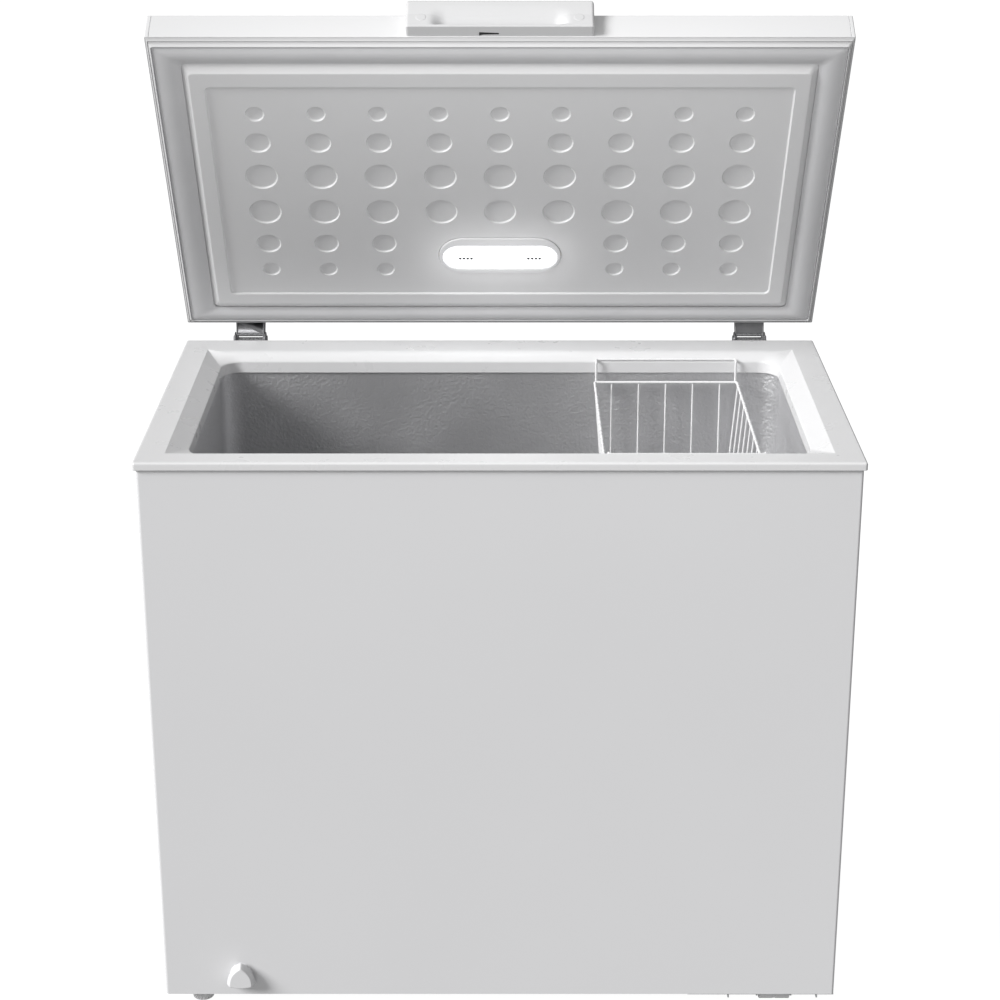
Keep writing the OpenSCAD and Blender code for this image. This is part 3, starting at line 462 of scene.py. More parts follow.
# colour, roughness, grain scale, grain depth, roughness spread, colour drift, metal
materials = {
    "painted_steel": moulded("painted_steel", (0.80, 0.80, 0.81), 0.38, 450, 0.000012, 0.03, 0.008, cloud=3),
    "zinc_sheet": moulded("zinc_sheet", (0.52, 0.53, 0.54), 0.42, 300, 0.00003, 0.10, 0.14, 1.0, 28),
    "stucco_aluminium": stucco_aluminium("stucco_aluminium"),
    "foam": moulded("foam", (0.82, 0.72, 0.46), 0.9, 500, 0.0003, 0.05, 0.08, cloud=30),
    "white_rim": moulded("white_rim", (0.79, 0.79, 0.795), 0.30, 1100, 0.000012, 0.04, 0.008, cloud=5),
    "aluminium_tube": moulded("aluminium_tube", (0.66, 0.67, 0.69), 0.35, 400, 0.00002, 0.08, 0.06, 1.0, 20),
    "steel_tube": moulded("steel_tube", (0.10, 0.10, 0.105), 0.4, 400, 0.00002, 0.08, 0.1, cloud=20),
    "copper": moulded("copper", (0.75, 0.36, 0.20), 0.32, 300, 0.00002, 0.1, 0.15, 1.0, 25),
    "black_steel": moulded("black_steel", (0.014, 0.014, 0.015), 0.28, 500, 0.00004, 0.06, 0.2, cloud=15),
    "black_rubber": moulded("black_rubber", (0.018, 0.018, 0.018), 0.75, 900, 0.00006, 0.08, 0.2, cloud=30),
    "black_plastic": moulded("black_plastic", (0.022, 0.022, 0.024), 0.5, 900, 0.00004, 0.06, 0.15, cloud=20),
    "grey_plastic": moulded("grey_plastic", (0.70, 0.70, 0.71), 0.45, 900, 0.00003, 0.05, 0.02, cloud=10),
    "white_plastic": moulded("white_plastic", (0.80, 0.80, 0.81), 0.34, 900, 0.000015, 0.05, 0.015, cloud=20),
    "foot_plastic": moulded("foot_plastic", (0.86, 0.86, 0.865), 0.45, 800, 0.00004, 0.06, 0.06, cloud=40),
    "roller_plastic": moulded("roller_plastic", (0.86, 0.86, 0.865), 0.45, 800, 0.00004, 0.06, 0.06,
                              cloud=40),
    "zinc_steel": moulded("zinc_steel", (0.62, 0.62, 0.63), 0.28, 500, 0.00003, 0.1, 0.1, 1.0, 60),
    "hinge_zinc": moulded("hinge_zinc", (0.34, 0.34, 0.35), 0.46, 500, 0.00003, 0.08, 0.1, 1.0, 50),
    "spring_steel": moulded("spring_steel", (0.20, 0.20, 0.21), 0.30, 500, 0.00003, 0.08, 0.1, 1.0, 50),
    # lid_white: the body's white paint made a little darker, painted shade standing in for the lid getting more
    # light than the body
    "lid_white": moulded("lid_white", (0.775, 0.775, 0.78), 0.33, 500, 0.000012, 0.03, 0.008, cloud=3),
    "liner_plastic": moulded("liner_plastic", (0.825, 0.825, 0.83), 0.42, 1200, 0.00002, 0.04, 0.01, cloud=4),
    "gasket_pvc": moulded("gasket_pvc", (0.70, 0.70, 0.71), 0.5, 700, 0.00003, 0.05, 0.02, cloud=15,
                          sheen=0.1),
    "frame_plastic": moulded("frame_plastic", (0.72, 0.72, 0.725), 0.36, 900, 0.00002, 0.04, 0.01, cloud=8),
    # handle_plastic: white plastic made darker than the lid, painted shade on the handle's face
    "handle_plastic": moulded("handle_plastic", (0.66, 0.66, 0.665), 0.32, 1000, 0.000012, 0.03, 0.01,
                              cloud=8),
    "lamp_frame": moulded("lamp_frame", (0.80, 0.80, 0.81), 0.30, 900, 0.000012, 0.03, 0.01, cloud=10),
    "circuit_board": moulded("circuit_board", (0.75, 0.78, 0.75), 0.5, 600, 0.00003, 0.05, 0.05, cloud=40),
    "led_chip": moulded("led_chip", (0.03, 0.03, 0.028), 0.3, 600, 0.00002, 0.05, 0.1, cloud=80),
    "lamp_lens": glowing_lens("lamp_lens"),
    "basket_wire": moulded("basket_wire", (0.86, 0.86, 0.865), 0.28, 900, 0.00002, 0.05, 0.02, cloud=25),
}

slots = {p["node"]: p["material_slot"] for p in frame["record"]["subparts"]}
for node_name, node in frame["nodes"].items():
    node.data.materials.clear()
    node.data.materials.append(materials[slots[node_name]])


# ---------- rim ----------

def rim_outer(d, z):
    return loop(-RIM_X + d, RIM_X - d, -RIM_Y + d, RIM_Y - d, RIM_Z + z, max(CORNER_R - d, 0.6))


def rim_inner(d, z, r=None):
    """Mouth outline. At the back the slope starts gently and steepens towards the lip."""
    s = max(0, min(1, d / FUNNEL_W))
    if r is None:
        r = mix(1.2, LIP_R, s)
    ring = loop(-FLAT_X + d, FLAT_X - d, FLAT_Y0 + d, FLAT_Y1 - d, RIM_Z + z, r)
    if z < -FUNNEL_DROP - 8:  # the lip below the slope stays level
        return ring
    n = len(ring) // 4
    lift = FUNNEL_DROP * (s - s ** 3.2)
    share = [smooth(0, n - 1, i) for i in range(n)] + [smooth(n - 1, 0, i) for i in range(n)] + [0] * (2 * n)
    return [(x, y, h + lift * w) for (x, y, h), w in zip(ring, share)]


outer = fillet([(RIM_T, -FLANGE_H), (0, -FLANGE_H), (0, 0), (12, 0)], [0, 0.9, 3.2, 0], 6)
slope_steps = [(FUNNEL_W * k / 12, -FUNNEL_DROP * k / 12) for k in range(13)]
inner = fillet([(-12, 0)] + slope_steps + [(FUNNEL_W, -FUNNEL_DROP - LIP_H),
                (FUNNEL_W - RIM_T, -FUNNEL_DROP - LIP_H)], [0, 2] + [0] * 11 + [5, 1.2, 0], 7)
rings = [rim_outer(d, z) for d, z in outer] + [rim_inner(d, z) for d, z in inner]
rings += [rim_inner(d, z, LIP_R + RIM_T) for d, z in [
    (FUNNEL_W - RIM_T, -FUNNEL_DROP - LIP_H + 0.5), (FUNNEL_W - RIM_T, -FUNNEL_DROP - 4)]]
rings += [rim_inner(d, z, 2) for d, z in [(0, -RIM_T - 0.6), (-10, -RIM_T)]]
rings += [rim_outer(d, z) for d, z in [(10, -RIM_T), (RIM_T, -RIM_T)]]
piece("top_rim_moulding", *loft(rings, closed=True), "cabinet", "white_rim", ["top_rim"], angle=60)


# ---------- tub ----------

def tub_sheet():
    """One sheet: upper walls, the shelf over the compressor, the deep pit and its floor."""
    small_r = 10
    z_top = RIM_Z - FUNNEL_DROP - RIM_T
    edge_x = STEP_X - small_r
    upper = loop(-LINER_X, LINER_X, LINER_Y0, LINER_Y1, 0, LINER_R)
    n = len(upper) // 4
    upper = upper[:n] + [(edge_x, LINER_Y1, 0)] + upper[n:3 * n] + [(edge_x, LINER_Y0, 0)] + upper[3 * n:]
    left = loop(-LINER_X, STEP_X, LINER_Y0, LINER_Y1, 0, LINER_R)[n:3 * n]
    right = loop(-LINER_X, STEP_X, LINER_Y0, LINER_Y1, 0, small_r)
    lower = right[:n] + left + right[3 * n:]
    at = lambda ring, z: [(x, y, z) for x, y, _ in ring]
    walls = loft([at(upper, z_top), at(upper, STEP_Z)], caps=False)
    pit = loft([at(lower, STEP_Z), at(lower, TUB_Z)], caps=False)
    floor = (at(lower, TUB_Z), [tuple(range(len(lower)))])
    u = at(upper, STEP_Z)
    w = at(lower, STEP_Z)
    # shelf: round the right end of the upper outline, then back along the lower one's right side
    shelf_ring = u[3 * n + 1:] + u[:n + 1] + w[:n - 1][::-1] + w[3 * n + 1:][::-1]
    shelf = (shelf_ring, [tuple(range(len(shelf_ring)))])
    return merge_parts([walls, pit, floor, shelf])


piece("inner_liner_tub", *tub_sheet(), "cabinet", "stucco_aluminium", ["inner_liner"],
      angle=50, bevel=5, solid=0.9)


# ---------- lid skin, frame, gasket ----------

SEAM_X = LID_X - 5.5


def skin_box(d, z, r, seam=0.0):
    """Ring of the folded sheet, with a seam near each end of its front face."""
    ring = loop(-LID_X + d, LID_X - d, LID_Y0 + d, LID_Y1 - d, z, r, 6)
    n = len(ring) // 4
    front = LID_Y0 + d
    notch = [(-0.55, 0), (-0.25, seam), (0.25, seam), (0.55, 0)]
    marks = [(c + u, front + v, z) for c in (-SEAM_X, SEAM_X) for u, v in notch]
    return ring[:3 * n] + marks + ring[3 * n:]


lid_top = LID_Z + LID_T
skin = [skin_box(3.5, lid_top - 1, 1), skin_box(1, lid_top - 3, 1), skin_box(1, LID_Z + 0.4, 1)]
side = fillet([(1, LID_Z), (0, LID_Z), (0, lid_top), (30, lid_top)], [0, 0.4, 2.2, 0], 7)
skin += [skin_box(d, z, 1.6 if d < 3 else 1.2, 0.8 if d < 0.8 and z > LID_Z + 0.3 else 0.0) for d, z in side]
# the lid skin takes the darkened copy of the body paint: painted shade
piece("lid_skin_shell", *loft(skin), "lid", "lid_white", ["lid_skin"], OPEN, angle=50)

FRAME_OUT = (LID_X - 1.05, LID_Y0 + 1.05, LID_Y1 - 1.05, 1)
GASKET_OUT = (GASKET_X, GASKET_Y0, GASKET_Y1, 4)
PLATEAU_BASE = (BASE_X, BASE_Y0, BASE_Y1, 7)


def around(profile, a, b):
    """Closed section swept round between two boxes; f runs from a to b and h towards the tub."""
    return loft([box_loop(between(a, b, f), LID_Z - h) for f, h in profile], closed=True)


frame_profile = [(0.0, -2.6), (0.0, -0.4), (0.04, 0.0), (0.14, 0.3), (0.24, 0.9), (0.32, 1.6), (0.33, -1.6),
                 (0.375, -1.6), (0.385, 1.2), (0.52, 1.5), (0.62, 2.2), (0.72, 3.2), (0.80, 4.4), (0.83, 4.5),
                 (0.86, 4.1), (0.93, 0.6), (0.99, 0.2), (0.99, -2.6)]
piece("lid_frame_bead", *around(frame_profile, FRAME_OUT, GASKET_OUT), "lid", "frame_plastic", ["lid_frame"],
      OPEN, angle=40)

gasket_profile = [(-0.01, -2.8), (-0.01, 1.0), (0.0, 2.0), (0.03, 2.8), (0.07, 3.4), (0.13, 3.9), (0.22, 4.5),
                  (0.32, 5.0), (0.45, 5.2), (0.58, 5.0), (0.70, 4.3), (0.80, 3.2), (0.88, 1.9),
                  (0.94, 0.9), (1.0, 0.4), (1.0, -2.8)]
piece("lid_gasket_seal", *around(gasket_profile, GASKET_OUT, PLATEAU_BASE), "lid", "gasket_pvc",
      ["lid_gasket"], OPEN, angle=50)

# ---------- lid liner with its dimples ----------

PITCH = 84.1
PANEL_MID = (PANEL_Y0 + PANEL_Y1) / 2
# distance of each row from the middle of the panel, and its dimples' radius
ROWS = [(-150, 13), (-97.5, 17.75), (-34, 23), (34, 23), (97.5, 17.75), (150, 13)]
LAMP_Y = 128.5
LAMP_W = 179
LAMP_H = 72
SPLIT = 12
# wall of a dimple: distance out from its radius, and depth
DIMPLE = [(0.5, 0.0), (0.1, 0.1), (-0.1, 0.35), (-1.2, 2.0), (-1.5, 2.3), (-2.2, 2.4)]
GRID_INSET = 9
GRID_X = PANEL_X - GRID_INSET
GRID_Y0 = PANEL_Y0 + GRID_INSET
GRID_Y1 = PANEL_Y1 - GRID_INSET
cols = [-GRID_X] + [(i + 0.5) * PITCH for i in range(-4, 4)] + [GRID_X]
row_mids = [PANEL_MID + off for off, _ in ROWS]
rows = [GRID_Y0] + [(a + b) / 2 for a, b in zip(row_mids, row_mids[1:])] + [GRID_Y1]


def side_points(x0, x1, y0, y1):
    """Points round a rectangle, evenly spaced on each side."""
    pts = [(mix(x0, x1, i / SPLIT), y0) for i in range(SPLIT)]
    pts += [(x1, mix(y0, y1, i / SPLIT)) for i in range(SPLIT)]
    pts += [(mix(x1, x0, i / SPLIT), y1) for i in range(SPLIT)]
    pts += [(x0, mix(y1, y0, i / SPLIT)) for i in range(SPLIT)]
    return pts


def broken_points(xs, ys):
    """As side_points, with each side split at the grid's own lines."""
    run = lambda vals: [mix(a, b, i / SPLIT) for a, b in zip(vals, vals[1:]) for i in range(SPLIT)]
    pts = [(x, ys[0]) for x in run(xs)]
    pts += [(xs[-1], y) for y in run(ys)]
    pts += [(x, ys[-1]) for x in run(xs[::-1])]
    pts += [(xs[0], y) for y in run(ys[::-1])]
    return pts


def dimple_cell(x0, x1, y0, y1, cx, cy, r):
    """Rectangle of the panel with a round dimple of radius r, its rings run out to the edge."""
    edge = side_points(x0, x1, y0, y1)
    n = len(edge)
    z = PANEL_Z
    verts = [(x, y, z) for x, y in edge]
    angles = [math.atan2(y - cy, x - cx) for x, y in edge]
    profile = [(r + d, h) for d, h in DIMPLE]
    profile += [(r * s, 2.4 + 0.35 * (1 - s * s)) for s in (0.7, 0.4, 0.12)]
    for radius, h in profile:
        verts += [(cx + radius * math.cos(a), cy + radius * math.sin(a), z + h) for a in angles]
    faces = []
    for k in range(len(profile)):
        faces += ring_faces(k * n, (k + 1) * n, n)
    faces.append(tuple(len(profile) * n + i for i in range(n)))
    return verts, faces


def stadium_at(angle, w, h):
    """Point of a stadium outline in a direction from its middle."""
    r, a = h / 2, (w - h) / 2
    dx, dy = math.cos(angle), math.sin(angle)
    if abs(dy) > 1e-9 and abs(dx) * r / abs(dy) <= a:
        return dx * r / abs(dy), math.copysign(r, dy)
    c = math.copysign(a, dx)
    b = dx * c
    t = b + math.sqrt(max(b * b - a * a + r * r, 0))
    return dx * t, dy * t


def lamp_cell():
    """The panel round the lamp, in place of the six dimples there."""
    edge = broken_points(cols[3:7], rows[4:7])
    n = len(edge)
    z = PANEL_Z
    verts = [(x, y, z) for x, y in edge]
    angles = [math.atan2(y - LAMP_Y, x) for x, y in edge]
    for grow, h in [(1.2, 0), (0.5, 0.25), (0.0, 0.9), (0.0, 6)]:
        for a in angles:
            x, y = stadium_at(a, LAMP_W + 2 * grow, LAMP_H + 2 * grow)
            verts.append((x, LAMP_Y + y, z + h))
    faces = []
    for k in range(4):
        faces += ring_faces(k * n, (k + 1) * n, n)
    return verts, faces


def liner_sheet():
    """Pressed sheet: sloped border, the step down to the panel, dimples and the lamp's opening."""
    parts = []
    for j, (_, r) in enumerate(ROWS):
        for i in range(9):
            if j > 3 and 3 <= i <= 5:  # the lamp takes these places
                continue
            cell = (cols[i], cols[i + 1], rows[j], rows[j + 1])
            parts.append(dimple_cell(*cell, (i - 4) * PITCH, row_mids[j], r))
    parts.append(lamp_cell())
    # slope, border and the step down to the panel, as loops between two boxes
    base = (BASE_X, BASE_Y0, BASE_Y1, 8)
    top = (PLATEAU_X, PLATEAU_Y0, PLATEAU_Y1, 6)
    slope = fillet([(0.0, -2.0), (0.06, -1.6), (1.0, PLATEAU_H), (1.6, PLATEAU_H)], [0, 0.15, 0.28, 0], 6)
    rings = []
    for f, h in slope:
        if f <= 1:
            rings.append(box_loop(between(base, top, f), LID_Z - h))
        else:
            inset = (f - 1) * 9
            rings.append(loop(-top[0] + inset, top[0] - inset, top[1] + inset, top[2] - inset, LID_Z - h, 6))
    step = fillet([(-4, PLATEAU_H), (0, PLATEAU_H), (2.1, PANEL_H), (5, PANEL_H)], [0, 0.3, 0.3, 0], 4)
    for d, h in step:
        rings.append(loop(-PANEL_X + d, PANEL_X - d, PANEL_Y0 + d, PANEL_Y1 - d, LID_Z - h, max(9 - d, 3)))
    parts.append(loft(rings, caps=False))
    grid_edge = [(x, y, PANEL_Z) for x, y in broken_points(cols, rows)]
    parts.append(zipper(rings[-1], grid_edge))
    return merge_parts(parts)


piece("lid_liner_panel", *liner_sheet(), "lid", "liner_plastic", ["lid_liner"], OPEN, angle=80, solid=1.2)

# ---------- lamp ----------

LENS_W = 167
LENS_H = 46
LENS_Y = LAMP_Y + 2.5
DIFFUSER_W = LENS_W - 0.6
DIFFUSER_H = LENS_H - 0.6


def stadium_loop(w, h, z, y=LAMP_Y, n=96):
    pts = []
    for k in range(n):
        x, v = stadium_at(2 * math.pi * (k + 0.5) / n, w, h)
        pts.append((x, y + v, z))
    return pts


lamp_rings = []
for f, h in [(1.0, 6), (1.0, -0.5), (0.96, -1.2), (0.88, -1.6), (0.35, -1.9), (0.12, -1.8), (0.04, -1.3),
             (0.0, 0.2), (0.0, 6)]:
    lamp_rings.append(stadium_loop(mix(LENS_W, LAMP_W - 0.8, f), mix(LENS_H, LAMP_H - 0.8, f), PANEL_Z + h,
                                   mix(LENS_Y, LAMP_Y, f)))
piece("lamp_surround", *loft(lamp_rings, closed=True), "lid", "lamp_frame", ["lamp_housing"], OPEN, angle=50)
lens_rings = [stadium_loop(DIFFUSER_W, DIFFUSER_H, PANEL_Z + h, LENS_Y) for h in (2, -0.6)]
for d, h in [(0.6, -1.2), (1.8, -1.6), (5, -2.0), (11, -2.3), (18, -2.4)]:
    lens_rings.append(stadium_loop(DIFFUSER_W - 2 * d, DIFFUSER_H - 2 * d, PANEL_Z + h, LENS_Y))
piece("lamp_diffuser", *loft(lens_rings), "lid", "lamp_lens", ["lamp_lens"], OPEN, angle=50)
LED_START = 41.6
LED_PITCH = 5.53
dots = []
for s in (-1, 1):
    for i in range(4):
        cx = s * (LED_START + LED_PITCH * i)
        dots.append(loft([circle(cx, LENS_Y + 1, PANEL_Z + h, r, 12)
                          for r, h in [(1.95, -1.5), (1.95, -2.8), (1.6, -3.0)]]))
piece("lamp_led_windows", *merge_parts(dots), "lid", "led_chip", ["lamp_leds"], OPEN)

# ---------- handle ----------

HANDLE_W = 251
HANDLE_Y = LID_Y0 - 17
HANDLE_H = 52
SCOOP_DEPTH = 11.0
SCREW_X = 105


def handle_section(x, inset):
    """Section from the back foot, under the front edge, up the face with its hollow, to the back top."""
    face = fillet([(LID_Y0 - 0.05, 1.2), (HANDLE_Y, 1.2), (HANDLE_Y, 26), (HANDLE_Y - 4, HANDLE_H),
                   (LID_Y0 + 20, HANDLE_H), (LID_Y0 + 20, LID_T + 0.05), (LID_Y0 - 0.05, LID_T + 0.05)],
                  [0, 1.0, 10, 3.5, 3.5, 0, 0], 8)
    fine = []
    for (y0, z0), (y1, z1) in zip(face, face[1:]):
        count = max(1, int(math.hypot(y1 - y0, z1 - z0) / 1.6))
        fine += [(mix(y0, y1, i / count), mix(z0, z1, i / count)) for i in range(count)]
    fine.append(face[-1])
    out = []
    across = 1 - smooth(72, 94, abs(x))
    for y, z in fine:
        on_face = smooth(LID_Y0 - 4, LID_Y0 - 7, y)
        deep = SCOOP_DEPTH * across * on_face * smooth(5.2, 8.5, z) * (1 - smooth(10, 40, z) ** 0.9)
        y = min(y + deep, LID_Y0 - 2) if y < LID_Y0 - 2 else y
        y = min(LID_Y0 - 0.05, y + inset) if y < LID_Y0 else max(LID_Y0, y - inset)
        z = mix(z, HANDLE_H / 2, inset / (HANDLE_H / 2)) if inset else z
        out.append((y, z))
    return out


def handle_body():
    """Sections along the handle, drawn in at both ends so that its edges are round."""
    half = HANDLE_W / 2
    r = 4.0
    stations = [(half, r)] + [(half - r + r * math.cos(math.radians(v)), r - r * math.sin(math.radians(v)))
                              for v in (15, 30, 45, 60, 75, 90)]
    xs = [(-x, i) for x, i in stations]
    inner_x = half - r
    steps = 70
    xs += [(mix(-inner_x, inner_x, k / steps), 0) for k in range(1, steps)]
    xs += [(x, i) for x, i in reversed(stations)]
    sections = [[(x, y, LID_Z + z) for y, z in handle_section(x, i)] for x, i in xs]
    return loft(sections)


# the handle and its screw covers take the darkened handle plastic: painted shade
piece("handle_grip", *handle_body(), "lid", "handle_plastic", ["handle"], OPEN, angle=60)
lock = [(-27.6, HANDLE_Y + 9.9), (-1.4, HANDLE_Y + 11.2), (-1.4, HANDLE_Y + 13.4), (-22, HANDLE_Y + 13.8),
        (-27.6, HANDLE_Y + 15.4)]
piece("lock_slot_insert", *prism(lock, LID_Z + 1.0, LID_Z + 4, lambda u, v, w: (u, v, w)), "lid",
      "black_plastic", ["lock_insert"], OPEN, bevel=0.15)
caps = []
for cx in (-SCREW_X, SCREW_X):
    caps.append(loft([circle(cx, HANDLE_Y + d, LID_Z + 20, r, 36, "xz")
                      for r, d in [(6.9, 1.0), (6.9, -0.15), (6.5, -0.42), (5.9, -0.48)]]))
piece("handle_screw_covers", *merge_parts(caps), "lid", "handle_plastic", ["handle_screw_caps"], OPEN)

# ---------- basket ----------

WIRE = 1.25
EDGE = 2.0
HOOK = 1.75
TAPER = 18
WIRE_BEND = 7
LONG_PITCH = 40
BACK_LIFT = 0.9  # holds the back hanger clear of the rim's rounded slope
basket_lo, basket_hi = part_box("basket_rim")
BX0 = basket_lo.x / MM + EDGE
BX1 = basket_hi.x / MM - EDGE
BY0 = basket_lo.y / MM - SHIFT_Y + EDGE
BY1 = basket_hi.y / MM - SHIFT_Y - EDGE
BZ1 = (basket_lo.z + basket_hi.z) / 2 / MM
BZ0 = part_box("basket_floor")[0].z / MM + WIRE
edge_path = bent([(BX0, BY0, BZ1), (BX1, BY0, BZ1), (BX1, BY1, BZ1), (BX0, BY1, BZ1)], 4, closed=True)
piece("basket_edge_wire", *tube(edge_path, EDGE, 14, closed=True), "basket", "basket_wire", ["basket_rim"])
side_pitch = (BY1 - BY0 - 30) / 8
cross = []
for i in range(9):
    y = (BY0 + BY1) / 2 + (i - 4) * side_pitch
    run = [(BX0, y, BZ1 - 1), (BX0 + TAPER, y, BZ0), (BX1 - TAPER, y, BZ0), (BX1, y, BZ1 - 1)]
    cross.append(tube(bent(run, WIRE_BEND), WIRE, 10))
piece("basket_cross_wires", *merge_parts(cross), "basket", "basket_wire", ["basket_left", "basket_right"])
along = []
for i in range(5):
    x = (BX0 + BX1) / 2 + (i - 2) * LONG_PITCH
    z = BZ0 + 2 * WIRE - 0.2
    run = [(x, BY0, BZ1 - 1), (x, BY0 + TAPER / 2, z), (x, BY1 - TAPER / 2, z), (x, BY1, BZ1 - 1)]
    along.append(tube(bent(run, WIRE_BEND), WIRE, 10))
piece("basket_long_wires", *merge_parts(along), "basket", "basket_wire", ["basket_front", "basket_back"])
foot_ring = bent([(BX0 + TAPER, BY0 + TAPER / 2, BZ0 + WIRE), (BX1 - TAPER, BY0 + TAPER / 2, BZ0 + WIRE),
                  (BX1 - TAPER, BY1 - TAPER / 2, BZ0 + WIRE), (BX0 + TAPER, BY1 - TAPER / 2, BZ0 + WIRE)], 10,
                 closed=True)
piece("basket_floor_ring", *tube(foot_ring, WIRE, 10, closed=True), "basket", "basket_wire", ["basket_floor"])
hook_lo, hook_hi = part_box("basket_hangers")
HZ = hook_hi.z / MM - HOOK
hooks = []
front_end = hook_lo.y / MM - SHIFT_Y + HOOK
back_end = hook_hi.y / MM - SHIFT_Y - HOOK
for s, y, end, top in ((-1, BY0, front_end, HZ), (1, BY1, back_end, HZ + BACK_LIFT)):
    post = y + s * (EDGE + HOOK - 0.2)
    x0, x1 = BX0 + 2.2, BX1 - 2.2
    run = [(x0, post, BZ1 - 4), (x0, post, top), (x0, end, top), (x1, end, top), (x1, post, top),
           (x1, post, BZ1 - 4)]
    hooks.append(tube(bent(run, 3.5, 4), HOOK, 12))
piece("basket_hooks", *merge_parts(hooks), "basket", "basket_wire", ["basket_hangers"])

# ---------- drain dial ----------

DRAIN_X = -361.5
DRAIN_Z = BODY_Z + 33.5
DIAL_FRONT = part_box("drain_dial")[0].y / MM - SHIFT_Y


def dial_outline(grow, steps=8):
    """Triangle with bulged sides and rounded corners, point up, grown outwards."""
    tri = [(-14.8 - grow, -12.3 - grow * 0.5), (14.8 + grow, -12.3 - grow * 0.5), (0, 15.5 + grow)]
    bulged = []
    for i, p in enumerate(tri):
        q = tri[(i + 1) % 3]
        d = Vector((q[0] - p[0], q[1] - p[1]))
        out = Vector((d.y, -d.x)).normalized()
        for k in range(steps):
            t = k / steps
            off = 4 * t * (1 - t) * (1.8 if i == 0 else 5.0)
            bulged.append((p[0] + d.x * t + out.x * off, p[1] + d.y * t + out.y * off))
    return fillet(bulged, [3.0 if i % steps == 0 else 0 for i in range(3 * steps)], 4, closed=True)


def dial():
    back = -SHELL_Y - 5.4
    rings = []
    for grow, y in [(3.0, back), (5.4, back), (5.7, back - 0.5), (5.4, back - 1.6), (1.9, DIAL_FRONT + 2.0),
                    (1.2, DIAL_FRONT + 0.9), (0.3, DIAL_FRONT + 0.3), (-1.0, DIAL_FRONT)]:
        rings.append([(DRAIN_X + u, y, DRAIN_Z + v) for u, v in dial_outline(grow)])
    return loft(rings)


piece("drain_dial_knob", *dial(), "front_drain_dial", "white_plastic", ["drain_dial"], angle=60)
collar = [circle(DRAIN_X, -SHELL_Y - d, DRAIN_Z, r, 48, "xz")
          for r, d in [(12, -0.9), (12, 0), (15.5, 0), (15.2, 3), (14, 5), (7, 5), (7, -0.9)]]
piece("drain_collar", *loft(collar, closed=True), "cabinet", "white_plastic", ["drain_socket"], angle=50)

# ---------- hinges ----------

PIN_R = 4
HOUSING_H = 126
EAR_R = 10
CHEEK_R = 12
COIL_R = 10
COIL_TURNS = 11
yz = lambda u, v, w: (w, u, v)
housing_z0 = RIM_Z - HOUSING_H
housing_z1 = RIM_Z - FLANGE_H - 4
back_y = PIVOT_Y + CHEEK_R
cheek = [(SHELL_Y + 2, housing_z0), (SHELL_Y + 16, housing_z0), (back_y, housing_z0 + 30), (back_y, PIVOT_Z)]
cheek += [(PIVOT_Y + CHEEK_R * math.cos(math.radians(a)), PIVOT_Z + CHEEK_R * math.sin(math.radians(a)))
          for a in range(15, 180, 15)]
cheek += [(PIVOT_Y - CHEEK_R, PIVOT_Z), (PIVOT_Y - CHEEK_R, housing_z1), (SHELL_Y + 2, housing_z1)]
leaf_half = HINGE_HALF - 2.3
leaf_z0 = LID_Z + 5
leaf_z1 = LID_Z + LID_T - 4
ear = [(LID_Y1 + 2, leaf_z0), (PIVOT_Y - 9.5, PIVOT_Z)]
ear += [(PIVOT_Y + EAR_R * math.cos(math.radians(a)), PIVOT_Z + EAR_R * math.sin(math.radians(a)))
        for a in range(200, 391, 18)]
ear += [(LID_Y1 + 8, leaf_z1), (LID_Y1 + 2, leaf_z1)]
web = [(LID_Y1 + 2, leaf_z0), (LID_Y1 + 4, leaf_z0), (PIVOT_Y - 7, PIVOT_Z + 3), (PIVOT_Y - 9, PIVOT_Z + 1)]
housing, leaves, pins, springs = [], [], [], []
for s in (-1, 1):
    c = s * HINGE_X
    housing.append(block(c - HINGE_HALF, c + HINGE_HALF, SHELL_Y, SHELL_Y + 2, housing_z0, housing_z1))
    housing.append(block(c - HINGE_HALF, c + HINGE_HALF, SHELL_Y + 2, SHELL_Y + 15.5, housing_z0,
                         housing_z0 + 2))
    housing.append(prism(cheek, c - HINGE_HALF, c - HINGE_HALF + 2, yz))
    housing.append(prism(cheek, c + HINGE_HALF - 2, c + HINGE_HALF, yz))
    leaves.append(block(c - leaf_half, c + leaf_half, LID_Y1, LID_Y1 + 2, leaf_z0, leaf_z1))
    leaves.append(prism(web, c - leaf_half, c + leaf_half, yz))
    leaves.append(prism(ear, c - leaf_half, c - leaf_half + 2, yz))
    leaves.append(prism(ear, c + leaf_half - 2, c + leaf_half, yz))
    head = [(25.5, 6.4), (25.5, 6.5), (24.2, 6.5), (23.6, 6.2), (23.6, PIN_R)]
    pin = [(c - x, r) for x, r in head] + [(c + x, r) for x, r in reversed(head)]
    pins.append(loft([circle(x, PIVOT_Y, PIVOT_Z, r, 24, "yz") for x, r in pin]))
    spring_y = SHELL_Y + 16
    z0, z1 = housing_z0 + 3.5, PIVOT_Z - 18
    coil = []
    for k in range(20 * COIL_TURNS + 1):
        a = 2 * math.pi * k / 20
        coil.append((c + COIL_R * math.cos(a), spring_y + COIL_R * math.sin(a),
                     mix(z0, z1, k / (20 * COIL_TURNS))))
    springs.append(tube(coil, 1.45, 8))
rods = [tube([(s * HINGE_X - leaf_half + 1, PIVOT_Y - 8.9, PIVOT_Z + 2),
              (s * HINGE_X + leaf_half - 1, PIVOT_Y - 8.9, PIVOT_Z + 2)], 2.2, 16) for s in (-1, 1)]
piece("leaf_rolled_edges", *merge_parts(rods), "lid", "zinc_steel", ["lid_hinge_leaves"], OPEN)
piece("hinge_channels", *merge_parts(housing), "cabinet", "hinge_zinc", ["hinge_housings"], bevel=0.35)
piece("lid_hinge_brackets", *merge_parts(leaves), "lid", "hinge_zinc", ["lid_hinge_leaves"], OPEN, bevel=0.35)
piece("hinge_rivets", *merge_parts(pins), "cabinet", "zinc_steel", ["hinge_pins"])
piece("hinge_coils", *merge_parts(springs), "cabinet", "spring_steel", ["hinge_springs"])

# ---------- feet and rollers ----------

FLUTES = 20


